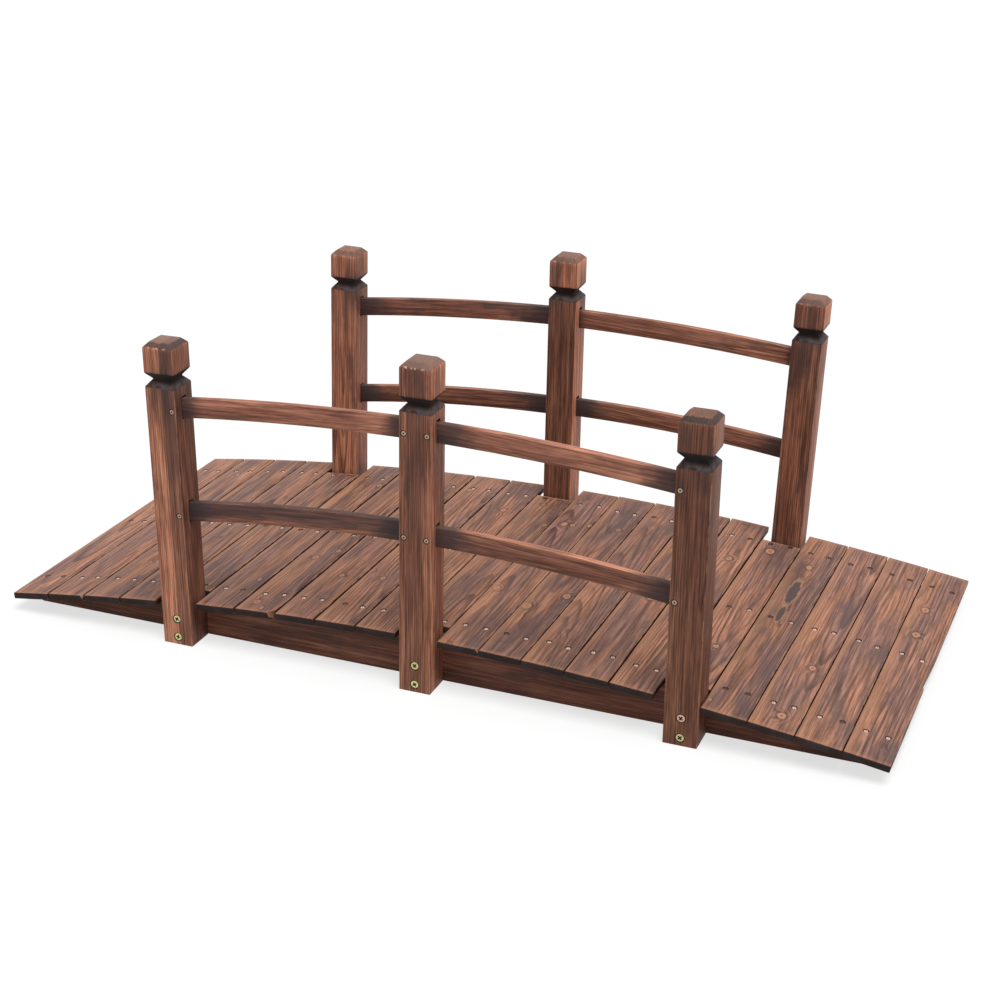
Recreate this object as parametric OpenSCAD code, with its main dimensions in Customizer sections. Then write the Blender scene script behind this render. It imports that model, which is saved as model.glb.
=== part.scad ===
// Garden moon bridge in stained fir: 21 deck planks laid across three arched
// beams, six posts let into the deck edge and eight curved rails mortised
// into the posts. Millimetres, Z up, length along X, near railing on -Y.
// The origin is on the ground under the middle of the deck.

/* [Deck] */
// Length of the deck on the level, end to end
deck_length = 1506; // [1450:2:1600]
// Height of the deck surface above the ground at the crown
crown_height = 93; // [84:1:120]
// How far the deck ends lie below the crown
deck_rise = 59; // [40:0.5:60]
// Mean length of a full plank, which is the width of the deck
plank_length = 684; // [660:2:720]
// Plank thickness
plank_thickness = 11; // [8:0.5:14]
// Mean gap between neighbouring planks
plank_gap = 2.5; // [2:0.25:5]
// How far the planks left of the middle have crept to the right of even spacing
plank_creep = 5; // [0:0.5:5]
// Skew of the planks to the beams, in degrees, far ends to the right
plank_skew = 0.5; // [0:0.1:0.6]
// Rounding of the planks' long top edges
plank_round = 1.5; // [1:0.25:3.5]
// Difference in length between the planks, cut by eye
length_spread = 8; // [0:0.5:10]
// Space between the end of a short plank and the post it stops at
notch_gap = 6.5; // [3:0.5:10]
// How far a plank of mean length reaches past a side beam's outer face
plank_overhang = 49.5; // [44:0.5:56]

/* [Beams] */
// Thickness of each beam
beam_thickness = 41; // [28:1:50]
// How far each beam stops short of the deck's end
beam_setback = 16; // [8:1:40]
// Rounding of the beams' lower end corners
beam_corner = 7; // [3:0.5:8]

/* [Posts] */
// Side of the near railing's square posts
near_post_width = 53.4; // [50:0.2:55]
// Side of the far railing's square posts
far_post_width = 52; // [50:0.2:55]
// Height of the two middle posts
mid_post_height = 547.5; // [538:0.5:600]
// Height of the near railing's end posts
near_end_height = 523; // [514:0.5:560]
// Height of the far railing's right end post
far_end_height = 520.5; // [508:0.5:560]
// How much shorter the far left post is, and how much lower the rail that meets it
far_left_drop = 6.5; // [0:0.5:10]
// Height of the heads above the groove
head_height = 51; // [44:1:58]
// Height of the taller heads, on the middle posts and the near right one
tall_head_height = 55; // [44:1:58]
// Chamfer round the top of the head
head_chamfer = 9; // [5:0.5:14]
// Depth of the V groove under the head
groove_depth = 10; // [6:0.5:13]
// Height of the V groove at the post's face
groove_height = 22.5; // [16:0.5:28]
// Easing of the posts' long edges
post_ease = 1.2; // [0.6:0.1:2.5]

/* [Post feet] */
// How far the near left post's foot stands to the right of the middle of its notch
near_left_foot = 2.8; // [-2:0.2:6]
// The same of the near middle post
near_mid_foot = 1.2; // [-2:0.2:6]
// The same of the near right post
near_right_foot = 4.6; // [-2:0.2:6]
// The same of the far left post
far_left_foot = -0.4; // [-2:0.2:8]
// The same of the far middle post
far_mid_foot = 6.4; // [-2:0.2:8]
// The same of the far right post
far_right_foot = 6; // [-2:0.2:8]

/* [Post lean] */
// Lean of the near left post along the bridge, in degrees
near_left_lean = -0.7; // [-1:0.1:1.5]
// Lean of the near middle post
near_mid_lean = 0.6; // [-1:0.1:1.5]
// Lean of the near right post
near_right_lean = 0; // [-1:0.1:1.5]
// Lean of the far left post
far_left_lean = 1.2; // [-1:0.1:1.7]
// Lean of the far middle post
far_mid_lean = 0.4; // [-1:0.1:1.7]
// Lean of the far right post
far_right_lean = 1.6; // [-1:0.1:1.7]

/* [Rails] */
// Rail thickness across the bridge
rail_thickness = 12; // [9:0.5:16]
// Rail depth
rail_depth = 32.5; // [24:0.5:36]
// Underside of the near upper rails where they would meet over the middle post
upper_rail_height = 418.5; // [400:1:425]
// Radius of the upper rails' underside
upper_rail_radius = 3890; // [3000:10:6000]
// Underside of the lower rails over the middle post
lower_rail_height = 248; // [220:1:280]
// Radius of the lower rails' underside
lower_rail_radius = 2850; // [2500:10:5000]
// How much lower the far upper rails and the far left lower one lie than the near ones
far_rail_drop = 2.5; // [0:0.5:4]
// How much lower the near right upper rail's right end lies than its left one
near_right_drop = 2.5; // [0:0.5:3]
// How much higher the far right lower rail's right end lies than its left one
far_right_lift = 4.5; // [0:0.5:5]
// Length of each rail end held inside a post
tenon_length = 12.5; // [8:0.5:15]
// Spare depth of a mortise beyond the rail end
mortise_spare = 1.5; // [0.5:0.25:3]
// Space beside a rail in its mortise, each side
mortise_side_gap = 1.25; // [0.5:0.25:2]
// Space over a rail in its mortise
mortise_top_gap = 4.5; // [1:0.5:6]
// Clearance left between pieces that are screwed or seated together
seat = 0.1; // [0.05:0.05:0.3]

/* [Split edge] */
// Length of the sliver split off the last plank's outer top edge
sliver_length = 115; // [60:5:200]
// Length over which the sliver runs out to nothing
sliver_taper = 35; // [10:5:50]
// Width of the sliver
sliver_width = 2.5; // [1:0.25:5]
// Depth of the sliver below the plank's top
sliver_depth = 6; // [3:0.5:7]
// Where the broken end of the sliver is, measured from the deck's middle line
sliver_end = -86; // [-150:2:-20]

/* [Hidden] */
near = -1;
far = 1;
left = -1;
mid = 0;
right = 1;
plank_count = 21;
mid_plank = 11;
post_plank_step = 6;
half_length = deck_length / 2;
deck_radius = half_length * half_length / (2 * deck_rise) + deck_rise / 2;
deck_centre_z = crown_height - deck_radius;
plank_step = 2 * asin(half_length / deck_radius) / plank_count;
plank_pitch = 2 * deck_radius * sin(plank_step / 2);
plank_width = plank_pitch - plank_gap;
beam_spread = plank_length - 2 * plank_overhang;
plank_end_round = 1.5;
beam_top_radius = deck_radius - plank_thickness - seat;
beam_length = deck_length - 2 * beam_setback;
short_length = beam_spread - 2 * notch_gap;
notch_x = deck_radius * sin(post_plank_step * plank_step);
foot_spare = 2;
mortise_depth = tenon_length + mortise_spare;
mortise_width = rail_thickness + 2 * mortise_side_gap;
mortise_height = rail_depth + mortise_top_gap;
arc_fn = 1440;
round_fn = 32;
length_wave = 18;
length_phase = 4;
creep_start = 4;
creep_end = 15;

wood = [0.42, 0.24, 0.15];
wood_dark = [0.30, 0.17, 0.11];

// Length of a full plank, which differs a little from its neighbours
function long_length(i) = plank_length - length_spread * sin(length_wave * (i - length_phase));

// How far a plank has crept along the arch, in degrees round the arch's centre
function creep(i) = i < creep_start || i > creep_end ? 0 :
    plank_creep / deck_radius * 90 / PI * (1 - cos(360 * (i - creep_start) / (creep_end - creep_start)));

// Underside height of a rail at a distance from the middle of the railing
function rail_z(height, radius, x) = height - radius + sqrt(radius * radius - x * x);

// One of six values, for a post on the near or far side at the left, middle or right
function of_post(side, place, near_left, near_mid, near_right, far_left, far_mid, far_right) =
    side == near ? (place == left ? near_left : place == mid ? near_mid : near_right)
                 : (place == left ? far_left : place == mid ? far_mid : far_right);

// Side of a railing's posts
function post_width(side) = side == near ? near_post_width : far_post_width;

// Distance of a railing's middle line from the deck's
function post_y(side) = side * (beam_spread / 2 + seat + post_width(side) / 2);

// Lean of a post along the bridge
function lean(side, place) = of_post(side, place, near_left_lean, near_mid_lean, near_right_lean,
                                     far_left_lean, far_mid_lean, far_right_lean);

// Where the middle of a post's foot is along the bridge
function foot_x(side, place) = place * notch_x
    + of_post(side, place, near_left_foot, near_mid_foot, near_right_foot,
              far_left_foot, far_mid_foot, far_right_foot);

// Height of a post along its own middle line
function post_height(side, place) =
    of_post(side, place, near_end_height, mid_post_height, near_end_height,
            far_end_height - far_left_drop, mid_post_height, far_end_height);

// Height of a post's head above its groove
function post_head(side, place) =
    place == mid || side == near && place == right ? tall_head_height : head_height;

// Where the middle line of a post is at a height
function post_line(side, place, z) = foot_x(side, place) + z * tan(lean(side, place));

// Where a post's side face is at a height; dir is 1 for the face towards +X
function post_face(side, place, z, dir) = post_line(side, place, z) + dir * post_width(side) / 2;

// Height and radius of the underside of a railing's upper or lower rails
function rail_height(upper) = upper ? upper_rail_height : lower_rail_height;
function rail_radius(upper) = upper ? upper_rail_radius : lower_rail_radius;

// How much lower a rail end lies than its even arc has it; dir is 1 where the
// end is in the post's side towards +X
function end_drop(side, place, dir, upper) =
    side == near ? (upper && place == right ? near_right_drop : 0)
    : upper ? far_rail_drop + (place == left ? far_left_drop : 0)
    : place == right ? -far_right_lift
    : place + dir <= 0 ? far_rail_drop
    : 0;

// Flat section with rounded corners, centred across and hanging below its top line
module eased_section(width, depth, r) {
    translate([-width / 2 + r, -depth]) square([width - 2 * r, depth]);
    translate([-width / 2, -depth + r]) square([width, depth - 2 * r]);
    for (side = [-1, 1])
        for (level = [-r, -depth + r])
            translate([side * (width / 2 - r), level]) circle(r = r, $fn = round_fn);
}

// One straight plank across the bridge, its top at z = 0
module plank_body(length) {
    intersection() {
        rotate([90, 0, 0])
            linear_extrude(height = length, center = true)
                eased_section(plank_width, plank_thickness, plank_round);
        rotate([90, 0, 90])
            linear_extrude(height = 2 * plank_width, center = true)
                eased_section(length, plank_thickness, plank_end_round);
    }
}

// Carries a plank made at the origin to its place on the arch
module on_arch(i) {
    translate([0, 0, deck_centre_z])
        rotate([0, (i - mid_plank) * plank_step + creep(i), 0])
            translate([0, 0, deck_radius])
                rotate([0, 0, -plank_skew])
                    children();
}

module long_plank(i) {
    on_arch(i) plank_body(long_length(i));
}

module short_plank(i) {
    on_arch(i) plank_body(short_length);
}

// Lower corner of a beam end that is rounded off
module beam_corner_cut() {
    difference() {
        translate([-1, -1]) square([beam_corner + 1, beam_corner + 1]);
        translate([beam_corner, beam_corner]) circle(r = beam_corner, $fn = round_fn);
    }
}

// Beam with an arched top and a flat bottom on the ground
module beam(side) {
    translate([0, side * (beam_spread - beam_thickness) / 2, 0])
        rotate([90, 0, 0])
            linear_extrude(height = beam_thickness, center = true)
                difference() {
                    intersection() {
                        translate([-beam_length / 2, 0]) square([beam_length, crown_height]);
                        translate([0, deck_centre_z]) circle(r = beam_top_radius, $fn = arc_fn);
                    }
                    translate([-beam_length / 2, 0]) beam_corner_cut();
                    translate([beam_length / 2, 0]) mirror([1, 0]) beam_corner_cut();
                }
}

// Side view of a post: shaft, V groove, head and chamfered top
module post_outline(width, height, head) {
    w = width / 2;
    n = w - groove_depth;
    head_z = height - head;
    polygon([
        [-w, -foot_spare], [w, -foot_spare],
        [w, head_z - groove_height], [n, head_z - groove_height / 2], [w, head_z],
        [w, height - head_chamfer], [w - head_chamfer, height],
        [head_chamfer - w, height], [-w, height - head_chamfer],
        [-w, head_z], [-n, head_z - groove_height / 2], [-w, head_z - groove_height]
    ]);
}

// Square post section with its four long edges eased
module post_section(width) {
    w = width / 2;
    e = w - post_ease;
    polygon([[-e, -w], [e, -w], [w, -e], [w, e], [e, w], [-e, w], [-w, e], [-w, -e]]);
}

module post_body(width, height, head) {
    intersection() {
        rotate([90, 0, 0])
            linear_extrude(height = width, center = true) post_outline(width, height, head);
        rotate([90, 0, 90])
            linear_extrude(height = width, center = true) post_outline(width, height, head);
        translate([0, 0, -foot_spare])
            linear_extrude(height = height + foot_spare) post_section(width);
    }
}

// Pocket for a rail end in the side of a post that dir points to. The pocket's
// floor is under the lowest point of the rail end.
module mortise(side, place, dir, upper) {
    height = rail_height(upper);
    face = post_face(side, place, height, dir);
    tip = face - dir * tenon_length;
    middle = post_line(side, mid, height);
    lowest = rail_z(height, rail_radius(upper), max(abs(face - middle), abs(tip - middle)));
    floor_z = lowest - end_drop(side, place, dir, upper) - seat;
    length = mortise_depth + foot_spare;
    translate([dir > 0 ? face - mortise_depth : face - foot_spare, -mortise_width / 2, floor_z])
        cube([length, mortise_width, mortise_height + seat]);
}

// Post of the near or far railing, at its left, middle or right
module post(side, place) {
    width = post_width(side);
    x = foot_x(side, place);
    translate([0, post_y(side), 0])
        difference() {
            translate([x, 0, 0]) rotate([0, lean(side, place), 0])
                post_body(width, post_height(side, place), post_head(side, place));
            translate([x - width, -width, -2 * foot_spare])
                cube([2 * width, 2 * width, 2 * foot_spare]);
            for (dir = [-1, 1])
                for (upper = [true, false])
                    if (abs(place + dir) <= 1) mortise(side, place, dir, upper);
        }
}

// Ring that a curved rail is cut from, in side view
module rail_ring(height, radius) {
    translate([0, height - radius])
        difference() {
            circle(r = radius + rail_depth, $fn = arc_fn);
            circle(r = radius, $fn = arc_fn);
        }
}

// Curved rail of a railing's left or right bay, its ends let into the posts
module rail(side, bay, upper) {
    height = rail_height(upper);
    start_place = bay == left ? left : mid;
    start_face = post_face(side, start_place, height, 1);
    end_face = post_face(side, start_place + 1, height, -1);
    start_x = start_face - tenon_length;
    end_x = end_face + tenon_length;
    start_drop = end_drop(side, start_place, 1, upper);
    end_down = end_drop(side, start_place + 1, -1, upper);
    tilt = atan((start_drop - end_down) / (end_face - start_x));
    middle = post_line(side, mid, height);
    pivot = [end_face, rail_z(height, rail_radius(upper), end_face - middle)];
    translate([0, post_y(side), 0])
        rotate([90, 0, 0])
            linear_extrude(height = rail_thickness, center = true)
                intersection() {
                    translate([start_x, 0]) square([end_x - start_x, height + 2 * rail_depth]);
                    translate(pivot - [0, end_down]) rotate(tilt) translate(-pivot)
                        translate([middle, 0]) rail_ring(height, rail_radius(upper));
                }
}

// Sliver missing from the last plank's outer top edge, in place on the plank
module sliver_cut() {
    edge = plank_width / 2;
    translate([edge, sliver_end, -sliver_depth])
        linear_extrude(height = 2 * sliver_depth)
            polygon([
                [-sliver_width, 0], [1, 0], [1, sliver_length + 1], [0, sliver_length],
                [-sliver_width, sliver_length - sliver_taper]
            ]);
}

module split_plank(i) {
    on_arch(i)
        difference() {
            plank_body(long_length(i));
            sliver_cut();
        }
}

module plank_01() { color(wood) long_plank(1); }
module plank_02() { color(wood) long_plank(2); }
module plank_03() { color(wood) long_plank(3); }
module plank_04() { color(wood) long_plank(4); }
module plank_05() { color(wood) short_plank(5); }
module plank_06() { color(wood) long_plank(6); }
module plank_07() { color(wood) long_plank(7); }
module plank_08() { color(wood) long_plank(8); }
module plank_09() { color(wood) long_plank(9); }
module plank_10() { color(wood) long_plank(10); }
module plank_11() { color(wood) short_plank(11); }
module plank_12() { color(wood) long_plank(12); }
module plank_13() { color(wood) long_plank(13); }
module plank_14() { color(wood) long_plank(14); }
module plank_15() { color(wood) long_plank(15); }
module plank_16() { color(wood) long_plank(16); }
module plank_17() { color(wood) short_plank(17); }
module plank_18() { color(wood) long_plank(18); }
module plank_19() { color(wood) long_plank(19); }
module plank_20() { color(wood) long_plank(20); }
module plank_21() { color(wood) split_plank(21); }
module beam_near() { color(wood_dark) beam(-1); }
module beam_middle() { color(wood_dark) beam(0); }
module beam_far() { color(wood_dark) beam(1); }
module post_near_left() { color(wood) post(near, left); }
module post_near_mid() { color(wood) post(near, mid); }
module post_near_right() { color(wood) post(near, right); }
module post_far_left() { color(wood) post(far, left); }
module post_far_mid() { color(wood) post(far, mid); }
module post_far_right() { color(wood) post(far, right); }
module rail_near_left_upper() { color(wood) rail(near, left, true); }
module rail_near_right_upper() { color(wood) rail(near, right, true); }
module rail_near_left_lower() { color(wood) rail(near, left, false); }
module rail_near_right_lower() { color(wood) rail(near, right, false); }
module rail_far_left_upper() { color(wood) rail(far, left, true); }
module rail_far_right_upper() { color(wood) rail(far, right, true); }
module rail_far_left_lower() { color(wood) rail(far, left, false); }
module rail_far_right_lower() { color(wood) rail(far, right, false); }

plank_01();
plank_02();
plank_03();
plank_04();
plank_05();
plank_06();
plank_07();
plank_08();
plank_09();
plank_10();
plank_11();
plank_12();
plank_13();
plank_14();
plank_15();
plank_16();
plank_17();
plank_18();
plank_19();
plank_20();
plank_21();
beam_near();
beam_middle();
beam_far();
post_near_left();
post_near_mid();
post_near_right();
post_far_left();
post_far_mid();
post_far_right();
rail_near_left_upper();
rail_near_right_upper();
rail_near_left_lower();
rail_near_right_lower();
rail_far_left_upper();
rail_far_right_upper();
rail_far_left_lower();
rail_far_right_lower();
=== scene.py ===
"""Looks of the garden moon bridge: scorched and stained fir boards, posts, rails and screws."""

import logging
import math
import random
from collections.abc import Callable, Sequence
from dataclasses import dataclass, field
from enum import Enum
from typing import NamedTuple, Union

import bpy
from mathutils import Matrix, Vector


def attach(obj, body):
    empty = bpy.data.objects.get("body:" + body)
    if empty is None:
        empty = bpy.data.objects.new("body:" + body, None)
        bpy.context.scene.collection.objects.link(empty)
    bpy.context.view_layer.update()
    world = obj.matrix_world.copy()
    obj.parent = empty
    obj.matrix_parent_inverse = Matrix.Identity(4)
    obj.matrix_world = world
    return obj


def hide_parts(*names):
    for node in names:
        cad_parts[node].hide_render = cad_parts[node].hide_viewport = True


logging.basicConfig(level=logging.INFO, format="%(message)s")
LOG = logging.getLogger("moon_bridge")

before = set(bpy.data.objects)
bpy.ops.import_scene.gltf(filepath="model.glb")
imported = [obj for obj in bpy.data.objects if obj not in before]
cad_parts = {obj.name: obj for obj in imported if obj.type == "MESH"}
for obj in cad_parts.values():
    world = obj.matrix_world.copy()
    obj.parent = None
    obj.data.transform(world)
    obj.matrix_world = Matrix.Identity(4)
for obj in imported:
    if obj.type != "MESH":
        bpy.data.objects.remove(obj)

MM = 0.001
ROOT = "root"
Socket = Union[bpy.types.NodeSocket, float, tuple]
Triple = tuple[float, float, float]
Grain = Callable[[Vector], Triple]


class Side(Enum):
    """Which railing a piece belongs to."""

    NEAR = -1
    FAR = 1


class Place(Enum):
    """Which of a railing's three posts is meant, from left to right."""

    LEFT = -1
    MID = 0
    RIGHT = 1


class Level(Enum):
    """Which of a bay's two rails is meant."""

    UPPER = "upper"
    LOWER = "lower"


class Axis(Enum):
    """An axis of the frame."""

    X = 0
    Y = 1
    Z = 2


class Plating(Enum):
    """How a screw's head looks, as a screen colour."""

    PALE = (244, 212, 192)
    RUSTY = (120, 84, 70)
    YELLOW = (206, 206, 140)
    PINK = (214, 172, 154)
    DULL = (200, 174, 152)


class Band(NamedTuple):
    """A scorched stripe along a board: its middle across the board, half width and strength."""

    middle: float = 0.0
    half_width: float = 0.0
    strength: float = 0.0


class Cap(NamedTuple):
    """How sooty a post's chamfers, how weathered its crown and how nicked its rim are."""

    soot: float = 0.0
    weather: float = 0.0
    nicks: float = 0.0


class PaintedLight(NamedTuple):
    """How light a piece's sides, its front and its top are: painted light and shade, with some scorch.
    """

    side: float = 1.0
    front: float = 1.0
    top: float = 1.0


@dataclass(frozen=True)
class Knot:
    """A knot or a pitch pocket that shows, in millimetres from its board's middle."""

    along: float = 0.0
    across: float = 0.0
    radius: float = 0.0
    pitch: bool = False

    @property
    def packed(self) -> Triple:
        """Its place and radius in metres; a pitch pocket's radius is below zero."""
        return self.along * MM, self.across * MM, self.radius * (-MM if self.pitch else MM)


@dataclass(frozen=True)
class RailArc:
    """The curve of a rail's underside, in metres."""

    height: float
    radius: float

    def z_at(self, reach: float) -> float:
        """Height of the underside at a distance along the bridge from the arc's middle."""
        return self.height - self.radius + math.sqrt(self.radius**2 - reach**2)


@dataclass(frozen=True)
class BridgeSizes:
    """The bridge's own sizes, in metres and degrees, as its solids have them.

    The planks creep along the arch from the creep's start to its end, their lengths
    differ in a wave, and the seat is the room between pieces that touch.
    """

    deck_length: float = 1506 * MM
    crown_height: float = 93 * MM
    deck_rise: float = 59 * MM
    plank_length: float = 684 * MM
    plank_thickness: float = 11 * MM
    plank_gap: float = 2.5 * MM
    plank_creep: float = 5 * MM
    plank_skew: float = 0.5
    creep_start: int = 4
    creep_end: int = 15
    length_spread: float = 8 * MM
    length_wave: float = 18
    length_phase: float = 4
    notch_gap: float = 6.5 * MM
    plank_overhang: float = 49.5 * MM
    near_post_width: float = 53.4 * MM
    far_post_width: float = 52 * MM
    head_chamfer: float = 9 * MM
    groove_depth: float = 10 * MM
    groove_height: float = 22.5 * MM
    post_ease: float = 1.2 * MM
    rail_thickness: float = 12 * MM
    rail_depth: float = 32.5 * MM
    tenon_length: float = 12.5 * MM
    mortise_spare: float = 1.5 * MM
    mortise_side_gap: float = 1.25 * MM
    mortise_top_gap: float = 4.5 * MM
    seat: float = 0.1 * MM
    plank_count: int = 21
    mid_plank: int = 11
    post_plank_step: int = 6

    @property
    def deck_radius(self) -> float:
        """Radius of the deck's top surface."""
        half = self.deck_length / 2
        return half * half / (2 * self.deck_rise) + self.deck_rise / 2

    @property
    def plank_step(self) -> float:
        """Angle from one plank to the next, in radians."""
        return 2 * math.asin(self.deck_length / 2 / self.deck_radius) / self.plank_count

    @property
    def plank_pitch(self) -> float:
        """Distance from one plank to the next."""
        return 2 * self.deck_radius * math.sin(self.plank_step / 2)

    @property
    def plank_width(self) -> float:
        """Width of a plank."""
        return self.plank_pitch - self.plank_gap

    @property
    def beam_spread(self) -> float:
        """Width over the outer faces of the side beams."""
        return self.plank_length - 2 * self.plank_overhang

    @property
    def notch_x(self) -> float:
        """Distance along the bridge from the middle notch to an end one."""
        return self.deck_radius * math.sin(self.post_plank_step * self.plank_step)

    def post_width(self, side: Side) -> float:
        """Width of the posts of one railing."""
        return self.near_post_width if side is Side.NEAR else self.far_post_width

    def post_y(self, side: Side) -> float:
        """Distance of a railing's middle line from the deck's."""
        return side.value * (self.beam_spread / 2 + self.seat + self.post_width(side) / 2)

    def is_short(self, number: int) -> bool:
        """Whether a plank stops at the posts."""
        return (number - self.mid_plank) % self.post_plank_step == 0

    def plank_reach(self, number: int) -> float:
        """Length of one plank.

        Args:
            number: the plank's number, from 1 at the left end.

        Returns:
            Its length.
        """
        if self.is_short(number):
            return self.beam_spread - 2 * self.notch_gap
        wave = math.sin(math.radians(self.length_wave * (number - self.length_phase)))
        return self.plank_length - self.length_spread * wave

    def creep(self, number: int) -> float:
        """How far a plank has crept from even spacing.

        Args:
            number: the plank's number, from 1 at the left end.

        Returns:
            The angle round the arch's centre, in radians.
        """
        share = (number - self.creep_start) / (self.creep_end - self.creep_start)
        if not 0 <= share <= 1:
            return 0.0
        return self.plank_creep / self.deck_radius * (1 - math.cos(2 * math.pi * share)) / 2

    def plank_place(self, number: int) -> Matrix:
        """Where a plank made at the origin, with its top at z = 0, lies on the arch.

        Args:
            number: the plank's number, from 1 at the left end.

        Returns:
            The matrix that carries it there.
        """
        angle = (number - self.mid_plank) * self.plank_step + self.creep(number)
        down = Matrix.Translation((0, 0, self.crown_height - self.deck_radius))
        lift = Matrix.Translation((0, 0, self.deck_radius))
        skew = Matrix.Rotation(math.radians(-self.plank_skew), 4, "Z")
        return down @ Matrix.Rotation(angle, 4, "Y") @ lift @ skew


SIZES = BridgeSizes()

RAIL_ARCS: dict[Level, RailArc] = {
    Level.UPPER: RailArc(height=418.5 * MM, radius=3890 * MM),
    Level.LOWER: RailArc(height=248 * MM, radius=2850 * MM),
}


@dataclass(frozen=True)
class PostForm:
    """How one post stands and how it differs from its fellows.

    The foot is the distance from the middle of its notch, the lean is along the
    bridge in degrees, and the scorch is its wood's. The shade is its wood's lightness
    with painted light that falls unevenly from post to post, the side scorch and light
    is how light the flame and painted light leave its sides beside its front, and the
    painted head light is painted light and shade on its head's faces beside the rest.
    """

    foot: float
    lean: float
    height: float
    head: float
    shade: float
    scorch: float
    side_scorch_and_light: float
    band: Band = Band()
    cap: Cap = Cap(soot=0.6, weather=0.7, nicks=0.4)
    painted_head_light: PaintedLight = PaintedLight(side=1.75, front=1.15, top=1.0)


POST_FORMS: dict[tuple[Side, Place], PostForm] = {
    (Side.NEAR, Place.LEFT): PostForm(
        foot=2.8 * MM,
        lean=-0.7,
        height=523 * MM,
        head=51 * MM,
        shade=1.75,
        scorch=0.3,
        side_scorch_and_light=0.4,
        band=Band(middle=15 * MM, half_width=13 * MM, strength=0.8),
        cap=Cap(soot=0.85, weather=1.0, nicks=0.8),
        painted_head_light=PaintedLight(side=2.2, front=1.25, top=1.0),
    ),
    (Side.NEAR, Place.MID): PostForm(
        foot=1.2 * MM,
        lean=0.6,
        height=547.5 * MM,
        head=55 * MM,
        shade=1.12,
        scorch=0.4,
        side_scorch_and_light=1.2,
        band=Band(middle=1 * MM, half_width=18 * MM, strength=0.35),
        cap=Cap(soot=0.3, weather=1.0, nicks=0.95),
    ),
    (Side.NEAR, Place.RIGHT): PostForm(
        foot=4.6 * MM,
        lean=0.0,
        height=523 * MM,
        head=55 * MM,
        shade=0.69,
        scorch=0.45,
        side_scorch_and_light=1.03,
        cap=Cap(soot=1.0, weather=0.25, nicks=0.1),
        painted_head_light=PaintedLight(side=2.1, front=1.15, top=1.05),
    ),
    (Side.FAR, Place.LEFT): PostForm(
        foot=-0.4 * MM,
        lean=1.2,
        height=514 * MM,
        head=51 * MM,
        shade=1.36,
        scorch=0.5,
        side_scorch_and_light=0.8,
        painted_head_light=PaintedLight(side=1.45, front=1.65, top=1.0),
    ),
    (Side.FAR, Place.MID): PostForm(
        foot=6.4 * MM,
        lean=0.4,
        height=547.5 * MM,
        head=55 * MM,
        shade=0.68,
        scorch=0.55,
        side_scorch_and_light=3.0,
        painted_head_light=PaintedLight(side=1.6, front=3.1, top=1.3),
    ),
    (Side.FAR, Place.RIGHT): PostForm(
        foot=6 * MM,
        lean=1.6,
        height=520.5 * MM,
        head=51 * MM,
        shade=0.85,
        scorch=0.5,
        side_scorch_and_light=1.7,
        painted_head_light=PaintedLight(side=2.0, front=1.4, top=1.2),
    ),
}

# How far each rail end lies below the rail's even arc, from left to right: the two
# ends in the left bay, then the two in the right bay.
END_DROPS: dict[tuple[Side, Level], tuple[float, float, float, float]] = {
    (Side.NEAR, Level.UPPER): (0.0, 0.0, 0.0, 2.5 * MM),
    (Side.NEAR, Level.LOWER): (0.0, 0.0, 0.0, 0.0),
    (Side.FAR, Level.UPPER): (9 * MM, 2.5 * MM, 2.5 * MM, 2.5 * MM),
    (Side.FAR, Level.LOWER): (2.5 * MM, 2.5 * MM, 0.0, -4.5 * MM),
}


@dataclass(frozen=True)
class RailLook:
    """How light a rail's wood and its top are, with painted light and shade, and how much of it is
    scorched.

    The ends are how far its scorched ends reach.
    """

    shade: float
    scorch: float
    top: float = 1.5
    ends: float = 80 * MM
    band: Band = Band()


# Bay -1 is the left one and bay 1 the right one.
RAIL_LOOKS: dict[tuple[Side, int, Level], RailLook] = {
    (Side.NEAR, -1, Level.UPPER): RailLook(1.68, 0.15, top=1.6, ends=60 * MM),
    (Side.NEAR, 1, Level.UPPER): RailLook(1.5, 0.35, top=1.6, ends=90 * MM),
    (Side.NEAR, -1, Level.LOWER): RailLook(
        1.15, 0.5, top=0.6, band=Band(middle=5 * MM, half_width=14 * MM, strength=0.66)
    ),
    (Side.NEAR, 1, Level.LOWER): RailLook(1.02, 0.4, top=1.7, ends=90 * MM),
    (Side.FAR, -1, Level.UPPER): RailLook(1.15, 0.6, top=1.4, ends=90 * MM),
    (Side.FAR, 1, Level.UPPER): RailLook(1.3, 0.4, ends=26 * MM),
    (Side.FAR, -1, Level.LOWER): RailLook(0.9, 0.6),
    (Side.FAR, 1, Level.LOWER): RailLook(0.9, 0.6),
}

DECK_KNOTS: dict[int, tuple[Knot, ...]] = {
    7: (Knot(-109, -4, 5), Knot(-73, 23, 4), Knot(-304, -12, 5)),
    8: (Knot(-166, 2, 4),),
    9: (Knot(-154, 0, 4), Knot(264, -18, 4)),
    10: (Knot(194, 6, 5),),
    11: (Knot(158, 28, 4),),
    12: (Knot(-119, -23, 5), Knot(178, 3, 4), Knot(189, 32, 4)),
    13: (Knot(-161, -24, 7), Knot(-100, 23, 6), Knot(194, 13, 4)),
    15: (Knot(-38, 6, 6),),
    16: (Knot(175, 7, 5),),
    17: (Knot(243, -10, 7), Knot(-147, 4, 4)),
    18: (Knot(108, -7, 8, pitch=True), Knot(19, -6, 5, pitch=True)),
    19: (Knot(-131, 12, 5), Knot(-301, 5, 6)),
    21: (Knot(181, -12, 6), Knot(82, -9, 6)),
}


def post_line_x(side: Side, place: Place, height: float) -> float:
    """Where the middle line of a post is at a height.

    Args:
        side: the railing.
        place: the post's place in it.
        height: height above the ground.

    Returns:
        The distance along the bridge.
    """
    form = POST_FORMS[(side, place)]
    return place.value * SIZES.notch_x + form.foot + height * math.tan(math.radians(form.lean))


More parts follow.
